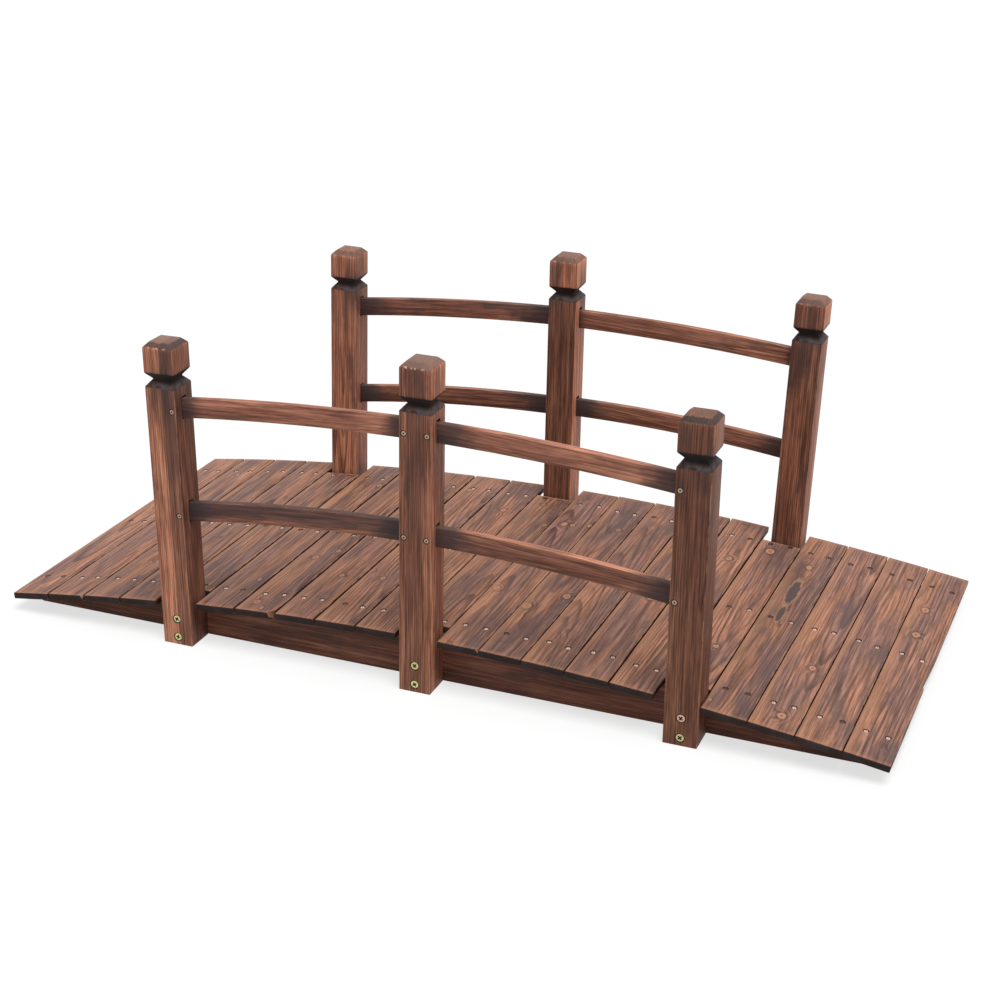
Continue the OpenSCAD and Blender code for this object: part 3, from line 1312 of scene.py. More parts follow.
@dataclass(frozen=True)
class WoodFinish:
    """Scorched fir on a board that carries its own grain frame.

    The glow and gloom are how far light and dark streaks show, and the fibre's
    factors darken and lighten the colour from fibre to fibre. The tint is the colour
    of a board's ends, which fades raggedly along it from a full core. The char and
    gap shade and the band tint are for the edges of a plank: the first darkens one
    edge with char and with painted shade of the gap beside it.
    """

    name: str
    stain: Stain
    ring_width: float = 3.9 * MM
    line_strength: float = 0.8
    knotty: float = 0.2
    wear_reach: float = 1.8 * MM
    wear_strength: float = 0.65
    end_char: float = 0.95
    end_reach: float = 1.2 * MM
    end_tint: Triple = (182, 126, 94)
    tint_ragged: float = 1.6
    tint_core: float = 0.0
    tint_strength: float = 0.4
    glow: float = 0.32
    gloom: float = 0.4
    char_and_gap_shade: float = 0.0
    band_tint: Triple = (176, 126, 96)
    roughness: float = 0.58
    sheen: float = 0.22
    groove: bool = False
    relief_strength: float = 0.45
    relief_height: float = 0.5 * MM

    RUB = Noise(28, 90, 90, detail=3.0, rough=0.6)
    DARK_FIBRE = (0.5, 0.47, 0.45, 1.0)
    LIGHT_FIBRE = (1.42, 1.44, 1.46, 1.0)

    def make(self) -> bpy.types.Material:
        """Build the material.

        Returns:
            The material.
        """
        material = bpy.data.materials.new(self.name)
        canvas = Canvas.fresh(material)
        places = self.places(canvas)
        frame_of_grain = {
            "Board": places["board"],
            "Seed": places["seed"],
            "Spacing": self.ring_width,
            "Scorch": places["scorch"],
            "Knotty": self.knotty,
            **{key: places[key] for key in Board.KNOTS},
        }
        grain = canvas.group(FirGrain.name, frame_of_grain)
        edges = canvas.group(BoardEdges.name, {"Form": places["form"], "Half": places["half"]})
        colour = self.wood_colour(canvas, grain, places["shade"])
        colour, burnt = self.edge_colour(canvas, colour, grain, edges, places)
        dull = canvas.times_plus(grain["Late"], -0.1, self.roughness)
        dull = canvas.times_plus(burnt, 0.25, dull)
        dull = canvas.times_plus(canvas.centred(grain["Fibre"]), 0.3, dull)
        relief = canvas.relief(grain["Height"], self.relief_strength, self.relief_height)
        canvas.surface(
            {
                "Base Color": colour,
                "Roughness": dull,
                "Specular IOR Level": self.sheen,
                "Normal": relief,
            }
        )
        return material

    def places(self, canvas: Canvas) -> dict[str, Socket]:
        """Read the grain frame.

        Args:
            canvas: the material's canvas.

        Returns:
            Its sockets by name.
        """
        shade, scorch, reach = canvas.split(canvas.attribute(Board.LOOK))
        return {
            "board": canvas.attribute(Board.AT),
            "form": canvas.attribute(Board.FORM),
            "half": canvas.attribute(Board.HALF),
            "seed": canvas.attribute(Board.SEED),
            # The board's shade times its face's painted light and shade.
            "shade": canvas.times(shade, canvas.attribute(Board.FACE, "Fac")),
            "scorch": scorch,
            "reach": reach,
            "band": canvas.attribute(Board.BAND),
            **{key: canvas.attribute(name) for key, name in Board.KNOTS.items()},
        }

    def wood_colour(self, canvas: Canvas, grain: dict[str, Socket], shade: Socket) -> Socket:
        """Colour of the wood away from its edges.

        Args:
            canvas: the material's canvas.
            grain: the grain's masks.
            shade: the board's own lightness.

        Returns:
            The colour.
        """
        stain = self.stain
        tone = canvas.ramp(grain["Tone"], 0.4, 0.6)
        colour = canvas.coat(
            canvas.mix(tone, srgb(*stain.mid), srgb(*stain.pale)),
            (canvas.ramp(grain["Streak"], 0.5, 0.7), self.glow, stain.worn),
            (canvas.ramp(grain["Streak"], 0.48, 0.32), self.gloom, stain.late),
            (grain["Late"], self.line_strength, stain.late),
        )
        fibre = canvas.ramp(grain["Fibre"], 0.32, 0.68)
        fibre = canvas.mix(fibre, self.DARK_FIBRE, self.LIGHT_FIBRE)
        colour = canvas.coat(
            canvas.mix(1.0, colour, fibre, "MULTIPLY"),
            (grain["Patch"], 0.7, stain.smoke),
            (grain["Rim"], 0.6, stain.rim),
            (grain["Knot"], 0.8, stain.knot),
            (grain["Heart"], 0.55, stain.heart),
            (grain["Halo"], 0.45, stain.worn),
            (grain["Pitch"], 0.9, stain.pitch),
        )
        return canvas.mix(1.0, colour, canvas.combine(shade, shade, shade), "MULTIPLY")

    def edge_colour(
        self,
        canvas: Canvas,
        colour: Socket,
        grain: dict[str, Socket],
        edges: dict[str, Socket],
        places: dict[str, Socket],
    ) -> tuple[Socket, Socket]:
        """Wear along the edges and char on the ends.

        Args:
            canvas: the material's canvas.
            colour: the wood's colour.
            grain: the grain's masks.
            edges: distances to the edges and ends.
            places: the piece's grain frame.

        Returns:
            The colour and the mask of the char, with a post groove's painted shade.
        """
        stain = self.stain
        rub = canvas.noise(places["form"], self.RUB)
        reach = canvas.times(canvas.ramp(rub, 0.34, 0.7), self.wear_reach)
        wear = canvas.ramp(edges["Arris"], canvas.plus(reach, 0.3 * MM), canvas.times(reach, 0.3))
        faded = self.end_fade(canvas, edges["End"], rub, places["reach"])
        striped = self.stripe(canvas, grain, places)
        colour = canvas.mix(faded, colour, srgb(*self.end_tint))
        colour = canvas.mix(striped, colour, srgb(*stain.smoke))
        wear = canvas.times(wear, canvas.rest(striped), canvas.rest(faded))
        end = canvas.ramp(edges["End"], self.end_reach, self.end_reach * 0.6)
        burnt = canvas.times(end, self.end_char)
        if self.char_and_gap_shade:
            colour = self.pale_band_and_gap_shade(canvas, colour, grain, rub, places)
        if self.groove:
            colour, charred_shaded_groove = self.head_colour(canvas, colour, grain, rub, places)
            burnt = canvas.most(burnt, charred_shaded_groove)
        colour = canvas.coat(colour, (wear, self.wear_strength, stain.worn))
        ashen = canvas.coat(srgb(*stain.char), (canvas.ramp(grain["Tone"], 0.4, 0.7), 0.5, stain.pitch))
        return canvas.mix(burnt, colour, ashen), burnt

    def end_fade(self, canvas: Canvas, inside: Socket, rub: Socket, reach: Socket) -> Socket:
        """How far the tint of a board's ends shows.

        Args:
            canvas: the material's canvas.
            inside: the distance to the nearest end.
            rub: an uneven noise.
            reach: how far the tint goes.

        Returns:
            Its mask.
        """
        share = canvas.math("DIVIDE", inside, canvas.most(reach, 1 * MM))
        share = canvas.times_plus(rub, -self.tint_ragged, share)
        middle = self.tint_ragged / 2
        tinted = canvas.ramp(share, 1.0 - middle, self.tint_core - middle)
        return canvas.times(tinted, self.tint_strength)

    def pale_band_and_gap_shade(
        self,
        canvas: Canvas,
        colour: Socket,
        grain: dict[str, Socket],
        rub: Socket,
        places: dict[str, Socket],
    ) -> Socket:
        """Pale band along one edge, and a dark strip along the other: char and painted shade of the gap
        beside it.

        Args:
            canvas: the material's canvas.
            colour: the wood's colour.
            grain: the grain's masks.
            rub: an uneven noise.
            places: the piece's grain frame.

        Returns:
            The colour.
        """
        _, across, _ = canvas.split(places["form"])
        _, half, _ = canvas.split(places["half"])
        spread = canvas.times_plus(grain["Tone"], 60 * MM, -12 * MM)
        pale = canvas.ramp(canvas.plus(half, across), spread, 2 * MM)
        reach = canvas.times_plus(canvas.ramp(rub, 0.3, 0.7), 0.6 * MM, 0.6 * MM)
        # Painted shade: a dark strip along the plank's other top edge, char and shade of the gap beside
        # it.
        gap_shaded_strip = canvas.ramp(canvas.minus(half, across), reach, canvas.times(reach, 0.4))
        return canvas.coat(
            colour,
            (pale, 0.5, self.band_tint),
            (gap_shaded_strip, self.char_and_gap_shade, self.stain.maroon),
        )

    def stripe(self, canvas: Canvas, grain: dict[str, Socket], places: dict[str, Socket]) -> Socket:
        """The scorched stripe along a board, which pales away from a post's groove.

        Args:
            canvas: the material's canvas.
            grain: the grain's masks.
            places: the piece's grain frame.

        Returns:
            Its mask.
        """
        along, across, _ = canvas.split(places["form"])
        middle, half_width, strength = canvas.split(places["band"])
        wander = canvas.times_plus(grain["Tone"], 9 * MM, -4.5 * MM)
        off = canvas.size(canvas.minus(canvas.plus(across, wander), middle))
        stripe = canvas.ramp(off, half_width, canvas.minus(half_width, 5 * MM))
        if self.groove:
            close = canvas.ramp(canvas.size(along), 260 * MM, 100 * MM)
            strength = canvas.times(strength, canvas.times_plus(close, 0.5, 0.5))
        return canvas.times(stripe, strength)

    def head_colour(
        self,
        canvas: Canvas,
        colour: Socket,
        grain: dict[str, Socket],
        rub: Socket,
        places: dict[str, Socket],
    ) -> tuple[Socket, Socket]:
        """Scorched groove with painted shade, and weathered head, of a post.

        Args:
            canvas: the material's canvas.
            colour: the wood's colour.
            grain: the grain's masks.
            rub: an uneven noise.
            places: the post's grain frame, which starts at the groove's middle.

        Returns:
            The colour and the mask of the groove's char and painted shade.
        """
        stain = self.stain
        mouth = SIZES.groove_height / 2
        up, across, _ = canvas.split(places["form"])
        off_groove = canvas.size(up)
        close = canvas.ramp(off_groove, 95 * MM, 8 * MM)
        sooty = canvas.times(close, canvas.ramp(grain["Tone"], 0.44, 0.6))
        colour = canvas.coat(colour, (sooty, 0.75, stain.soot))
        over = canvas.minus(up, places["reach"])
        colour = self.crown_colour(canvas, colour, grain["Late"], rub, (across, over))
        ragged = canvas.times_plus(rub, -4 * MM, off_groove)
        # Painted shade: the groove is charred dark, most on its upper slope, as scorch and as shade in
        # the groove.
        charred_shaded_groove = canvas.ramp(ragged, mouth + 0.8 * MM, mouth - 2.0 * MM)
        ashy = canvas.times(canvas.ramp(up, -2 * MM, -8 * MM), canvas.ramp(rub, 0.3, 0.6))
        colour = canvas.coat(colour, (charred_shaded_groove, ashy, stain.ash))
        return colour, canvas.times(charred_shaded_groove, canvas.times_plus(ashy, -0.55, 0.95))

    def crown_colour(
        self,
        canvas: Canvas,
        colour: Socket,
        late: Socket,
        rub: Socket,
        place: tuple[Socket, Socket],
    ) -> Socket:
        """Soot on a head's chamfers, weather on its crown and nicks in its rim.

        Args:
            canvas: the material's canvas.
            colour: the wood's colour.
            late: the mask of the latewood lines.
            rub: an uneven noise.
            place: the place across the post and the height over the head's rim.

        Returns:
            The colour.
        """
        stain = self.stain
        across, over = place
        sooted, weathered, nicks = canvas.split(canvas.attribute(Board.CAP))
        ragged = canvas.times_plus(rub, 3 * MM, over)
        on_crown = canvas.ramp(ragged, 8.5 * MM, 10 * MM)
        slope = canvas.times(
            canvas.ramp(ragged, 1 * MM, 3 * MM),
            canvas.rest(on_crown),
            canvas.times_plus(late, -0.7, 1.1),
        )
        flat = canvas.times(on_crown, canvas.times_plus(late, -0.8, 0.85))
        bare = canvas.times(canvas.ramp(over, 0.0, 2 * MM), canvas.rest(sooted))
        off_rim = canvas.size(canvas.minus(over, 0.3 * MM))
        nicked = canvas.times(
            canvas.ramp(off_rim, 1.9 * MM, 0.7 * MM),
            canvas.ramp(rub, 0.5, 0.58),
            canvas.ramp(across, 17 * MM, 10 * MM),
        )
        return canvas.coat(
            colour,
            (slope, sooted, stain.soot),
            (canvas.most(flat, bare), weathered, stain.crown),
            (nicked, nicks, stain.nick),
        )


@dataclass(frozen=True)
class BeamFinish(WoodFinish):
    """The same fir on a beam, whose grain frame is the bridge's own."""

    beam_middle: float = 45 * MM

    def places(self, canvas: Canvas) -> dict[str, Socket]:
        """Work the grain frame out from the place in the bridge.

        Args:
            canvas: the material's canvas.

        Returns:
            Its sockets by name.
        """
        along, across, up = canvas.split(canvas.place())
        board = canvas.combine(along, canvas.minus(up, self.beam_middle), across)
        return {
            "board": board,
            "form": board,
            "half": (10.0, 10.0, 10.0),
            "seed": (0.31, 0.74, 0.52),
            "shade": 1.0,
            "scorch": 0.5,
            "reach": 14 * MM,
            "band": Band(),
            **{key: Knot().packed for key in Board.KNOTS},
        }


@dataclass(frozen=True)
class PocketShadeFinish:
    """Dark, rough wood in the bottom of a drilled or chiselled hole, as painted shade of the hole."""

    name: str = "pocket_shade"
    dark: Triple = (26, 17, 15)
    light: Triple = (66, 42, 34)

    GRIT = Noise(900, 900, 900, detail=3.0, rough=0.6)

    def make(self) -> bpy.types.Material:
        """Build the material.

        Returns:
            The material.
        """
        material = bpy.data.materials.new(self.name)
        canvas = Canvas.fresh(material)
        grit = canvas.noise(canvas.place(), self.GRIT)
        speckled = canvas.ramp(grit, 0.3, 0.7)
        canvas.surface(
            {
                "Base Color": canvas.mix(speckled, srgb(*self.dark), srgb(*self.light)),
                "Roughness": canvas.times_plus(grit, 0.3, 0.6),
                "Normal": canvas.relief(grit, 0.5, 0.3 * MM),
            }
        )
        return material


@dataclass(frozen=True)
class ScrewFinish:
    """Plated steel of the screws, each with a tint of its own."""

    name: str = "plated_steel"
    grime: Triple = (104, 74, 58)

    HUE = "screw_tint"
    STAINS = Noise(420, 420, 420, detail=3.0, rough=0.65)

    def make(self) -> bpy.types.Material:
        """Build the material.

        Returns:
            The material.
        """
        material = bpy.data.materials.new(self.name)
        canvas = Canvas.fresh(material)
        noise = canvas.noise(canvas.place(), self.STAINS)
        stained = canvas.ramp(noise, 0.48, 0.7)
        canvas.surface(
            {
                "Base Color": canvas.coat(canvas.attribute(self.HUE), (stained, 0.45, self.grime)),
                "Metallic": canvas.times_plus(stained, -0.4, 0.95),
                "Roughness": canvas.times_plus(noise, 0.35, 0.2),
            }
        )
        return material


@dataclass
class Finishes:
    """Every finish of the bridge, made once."""

    deck: bpy.types.Material = field(init=False)
    post: bpy.types.Material = field(init=False)
    rail: bpy.types.Material = field(init=False)
    beam: bpy.types.Material = field(init=False)
    pocket: bpy.types.Material = field(init=False)
    screw: bpy.types.Material = field(init=False)

    def __post_init__(self) -> None:
        """Draw the shared groups, then the materials."""
        FirGrain()
        BoardEdges()
        self.deck = WoodFinish(
            "deck_fir",
            Stain(),
            line_strength=0.92,
            char_and_gap_shade=0.85,
            glow=0.22,
            gloom=0.26,
        ).make()
        self.post = WoodFinish(
            "post_fir",
            Stain(pale=(166, 110, 85), mid=(138, 88, 69), late=(80, 47, 36), smoke=(80, 58, 54)),
            ring_width=3.4 * MM,
            knotty=0.06,
            groove=True,
            tint_strength=0.0,
        ).make()
        self.rail = WoodFinish(
            "rail_fir",
            Stain(pale=(164, 111, 89), mid=(134, 87, 71), late=(82, 50, 41), smoke=(62, 52, 54)),
            ring_width=3.2 * MM,
            knotty=0.0,
            end_char=0.5,
            end_tint=(62, 52, 54),
            tint_ragged=0.8,
            tint_core=0.35,
            tint_strength=0.85,
            line_strength=0.55,
        ).make()
        self.beam = BeamFinish(
            "beam_fir",
            Stain(pale=(138, 88, 70), mid=(110, 68, 54), late=(60, 38, 31), smoke=(70, 52, 49)),
            ring_width=4.2 * MM,
            knotty=0.1,
        ).make()
        self.pocket = PocketShadeFinish().make()
        self.screw = ScrewFinish().make()


@dataclass(frozen=True)
class ScrewKind:
    """Sizes of a flat-headed cross screw, in metres.

    The arm is the width of the cross's arms beside the head's, and the gap is the
    room between the head and its hole's rim.
    """

    name: str
    head: float
    height: float
    recess: float
    arm: float = 0.2
    gap: float = 1.3 * MM
    sides: int = 16
    hole_sides: int = 20

    @property
    def hole(self) -> float:
        """Width of the countersink at the wood's surface."""
        return self.head + 2 * self.gap


@dataclass
class ScrewSet:
    """Screws of one kind, made once and copied to their places."""

    kind: ScrewKind
    finishes: Finishes
    master: bpy.types.Object = field(init=False)
    copies: list[bpy.types.Object] = field(default_factory=list)

    def __post_init__(self) -> None:
        """Make the first screw."""
        self.master = self.head()

    def head(self) -> bpy.types.Object:
        """Model a head with its cross recess, its top at z = 0 and facing +Z.

        Returns:
            The object.
        """
        kind = self.kind
        Workshop.deselect()
        bpy.ops.mesh.primitive_cylinder_add(
            vertices=kind.sides,
            radius=kind.head / 2,
            depth=kind.height,
            location=(0, 0, -kind.height / 2),
        )
        head = Workshop.settle(kind.name)
        head.data.materials.append(self.finishes.screw)
        Workshop.ease(head, kind.height * 0.25, 2)
        wide, long = kind.head * kind.arm, kind.head * 3 * kind.arm
        for size in ((long, wide), (wide, long)):
            cutter = Workshop.block("cross", (*size, kind.recess), (0, 0, -kind.recess * 0.4))
            # The cross recess gets the painted shade of the pockets.
            cutter.data.materials.append(self.finishes.pocket)
            Workshop.carve(head, [cutter])
        Workshop.smooth(head)
        return head

    def place(self, matrix: Matrix, plating: Plating, seed: str) -> None:
        """Copy the screw to a place.

        Args:
            matrix: carries the head from the origin, where it faces +Z.
            plating: how the head looks.
            seed: words that settle its turn and shade.
        """
        draw = random.Random(seed)
        turn = Matrix.Rotation(draw.uniform(0, math.pi), 4, "Z")
        tip = Matrix.Rotation(math.radians(draw.uniform(-3, 3)), 4, "X")
        copy = self.master.copy()
        copy.data = self.master.data.copy()
        bpy.context.scene.collection.objects.link(copy)
        copy.data.transform(matrix @ tip @ turn)
        shade = draw.uniform(0.85, 1.1)
        colour = [part * shade for part in srgb(*plating.value)[:3]]
        Board.store(copy, ScrewFinish.HUE, colour * len(copy.data.vertices))
        self.copies.append(copy)

    def countersink(self, matrix: Matrix) -> bpy.types.Object:
        """Make the cutter of a screw's countersunk hole.

        Args:
            matrix: carries the hole from the origin, where it opens towards +Z.

        Returns:
            The cutter.
        """
        kind = self.kind
        spare = 1 * MM
        depth = kind.height + 0.8 * MM
        Workshop.deselect()
        bpy.ops.mesh.primitive_cone_add(
            vertices=kind.hole_sides,
            radius1=kind.head / 2 - 0.3 * MM,
            radius2=kind.hole / 2 + spare * 0.5,
            depth=depth + spare,
            location=(0, 0, (spare - depth) / 2),
        )
        cutter = Workshop.settle("countersink")
        # The countersink's walls get the pockets' painted shade.
        cutter.data.materials.append(self.finishes.pocket)
        Workshop.move(cutter, matrix)
        return cutter

    def gather(self, name: str) -> None:
        """Join the copies made so far into one piece.

        Args:
            name: the piece's name.
        """
        piece = Workshop.join(self.copies, name)
        self.copies = []
        Workshop.finish(piece)

    def discard(self) -> None:
        """Delete the first screw."""
        Workshop.pick(self.master)
        bpy.ops.object.delete()


@dataclass
class Deck:
    """The twenty-one planks and their screws.

    The planks are painted lighter towards the ends, as painted light and sheen where
    the arch slopes, the last ones are swollen, and the last ones' far screws are rusty,
    as is a share of all the others.
    """

    finishes: Finishes
    screw_kind: ScrewKind = ScrewKind(
        "deck_screw", head=6.6 * MM, height=2 * MM, recess=1.4 * MM, arm=0.11, gap=2 * MM
    )
    edge_round: float = 1.6 * MM
    cuts_along: int = 23
    cuts_across: int = 3
    unevenness: float = 0.9 * MM
    wear_size: float = 45 * MM
    screw_reach: float = 16.4 * MM
    screw_rows: tuple[float, ...] = (-267.5 * MM, 1 * MM, 276 * MM)
    reach_scatter: float = 2 * MM
    row_scatter: float = 4 * MM
    sink: float = 0.7 * MM
    rusty_row: int = 2
    rusty_from: int = 17
    rusty_share: float = 0.12
    shade: float = 0.93
    shade_scatter: float = 0.1
    # Painted light: how much lighter a plank is painted for each plank it lies from the middle.
    painted_end_light: float = 0.025
    tint_reach: float = 14 * MM
    # Painted shade: plank sides darker in the gaps between planks, with their scorch, and ends a little
    # darker.
    faces: PaintedLight = PaintedLight(side=0.4, front=0.8, top=1.0)
    swell: float = 1 * MM
    swollen_from: int = 18
    sliver_width: float = 3.6 * MM
    sliver_length: float = 115 * MM
    sliver_taper: float = 100 * MM
    sliver_depth: float = 14 * MM
    sliver_end: float = -86 * MM
    chipped: tuple[int, ...] = (2, 7, 12)
    chip_size: Triple = (9 * MM, 12 * MM, 14 * MM)
    deep_chip: int = 7
    deep_chip_share: float = 1.8
    screws: ScrewSet = field(init=False)
    wear: bpy.types.Texture = field(init=False)

    def __post_init__(self) -> None:
        """Make the first screw and the soft unevenness of hand-finished boards."""
        self.screws = ScrewSet(self.screw_kind, self.finishes)
        self.wear = bpy.data.textures.new("hand_wear", "CLOUDS")
        self.wear.noise_scale = self.wear_size
        self.wear.noise_depth = 2

    def build(self) -> None:
        """Make every plank and its six screws."""
        for number in range(1, SIZES.plank_count + 1):
            self.plank(number)
        self.screws.gather("screws_deck")
        self.screws.discard()

    def plank(self, number: int) -> None:
        """Make one plank.

        Args:
            number: the plank's number, from 1 at the left end.
        """
        name = f"fir_plank_{number:02d}"
        draw = random.Random(name)
        length, thickness = SIZES.plank_reach(number), SIZES.plank_thickness
        width = SIZES.plank_width + (self.swell if number >= self.swollen_from else 0.0)
        piece = Workshop.block(name, (width, length, thickness), (0, 0, -thickness / 2))
        piece.data.materials.append(self.finishes.deck)
        Workshop.divide(piece, Axis.Y, self.cuts_along)
        Workshop.divide(piece, Axis.X, self.cuts_across)
        self.weather(piece, number)
        Workshop.ease(piece, self.edge_round, 3)
        cutters = self.holes(number, draw)
        if number in self.chipped:
            share = self.deep_chip_share if number == self.deep_chip else 1.0
            cutters.append(self.chip(width, length, draw, share))
        if number == SIZES.plank_count:
            cutters.append(self.sliver(width))
        Workshop.carve(piece, cutters)
        Workshop.smooth(piece)
        place = SIZES.plank_place(number)
        Workshop.move(piece, place)
        home = place.inverted()

        def grain(at: Vector) -> Triple:
            """Place along, across and through the plank."""
            local = home @ at
            return local.y, local.x, local.z + thickness / 2

        # Painted light: planks are painted lighter the farther they lie from the middle one.
        shade_with_end_light = self.shade + self.painted_end_light * abs(number - SIZES.mid_plank)
        board = Board(
            seed=name,
            half=(length / 2, width / 2, thickness / 2),
            shade=shade_with_end_light + draw.uniform(-1, 1) * self.shade_scatter,
            scorch=draw.uniform(0.25, 0.9),
            reach=self.tint_reach,
            faces=self.faces,
            knots=DECK_KNOTS.get(number, ()),
        )
        board.mark(piece, grain)
        Workshop.finish(piece, f"plank_{number:02d}", "deck_wood")

    def weather(self, piece: bpy.types.Object, number: int) -> None:
        """Make a plank's faces and edges a little uneven.

        Args:
            piece: the plank, at the origin.
            number: its number, which settles where the unevenness lies.
        """
        away = Matrix.Translation((number * 0.37, number * 0.23, 0))
        Workshop.move(piece, away)
        Workshop.apply(
            piece,
            "DISPLACE",
            texture=self.wear,
            texture_coords="LOCAL",
            strength=self.unevenness,
            mid_level=0.5,
        )
        Workshop.move(piece, away.inverted())

    def holes(self, number: int, draw: random.Random) -> list[bpy.types.Object]:
        """Drill a plank and set its screws.

        Args:
            number: the plank's number.
            draw: the plank's chances.

        Returns:
            The cutters of its countersinks.
        """
        cutters = []
        place = SIZES.plank_place(number)
        for row, line in enumerate(self.screw_rows):
            rusty_end = row == self.rusty_row and number >= self.rusty_from
            for way in (-1, 1):
                x = way * self.screw_reach + draw.uniform(-1, 1) * self.reach_scatter
                y = line + draw.uniform(-1, 1) * self.row_scatter
                cutters.append(self.screws.countersink(Matrix.Translation((x, y, 0))))
                seat = place @ Matrix.Translation((x, y, -self.sink))
                rusty = rusty_end or draw.random() < self.rusty_share
                plating = Plating.RUSTY if rusty else Plating.PALE
                self.screws.place(seat, plating, f"deck screw {number} {row} {way}")
        return cutters

    def chip(
        self, width: float, length: float, draw: random.Random, share: float
    ) -> bpy.types.Object:
        """Make the cutter of a corner chip at a plank's near right corner.

        Args:
            width: the plank's width.
            length: the plank's length.
            draw: the plank's chances.
            share: its size beside that of a small chip.

        Returns:
            The cutter.
        """
        size = (self.chip_size[0] * share, self.chip_size[1] * share, self.chip_size[2])
        cutter = Workshop.block("chip", size, (0, 0, 0))
        cutter.data.materials.append(self.finishes.deck)
        turn = Matrix.Rotation(math.radians(draw.uniform(38, 55)), 4, "Z")
        tip = Matrix.Rotation(math.radians(-35), 4, "X")
        corner = Matrix.Translation((width / 2 + 1 * MM, -length / 2 - 1 * MM, 2 * MM))
        Workshop.move(cutter, corner @ tip @ turn)
        return cutter

    def sliver(self, width: float) -> bpy.types.Object:
        """Make the cutter of the sliver split off the last plank's outer edge.

        Args:
            width: the plank's width.

        Returns:
            The cutter.
        """
        spare = 2 * MM
        inner = width / 2 - self.sliver_width
        cutter = Workshop.block(
            "sliver",
            (self.sliver_width + spare, self.sliver_length, 2 * self.sliver_depth),
            (width / 2 + (spare - self.sliver_width) / 2, self.sliver_end + self.sliver_length / 2, 0),
        )
        cutter.data.materials.append(self.finishes.deck)
        taper_start = self.sliver_end + self.sliver_length - self.sliver_taper
        slope = self.sliver_width + 0.4 * MM
        Workshop.bisect(cutter, (inner, taper_start, 0), (-self.sliver_taper, slope, 0))
        return cutter


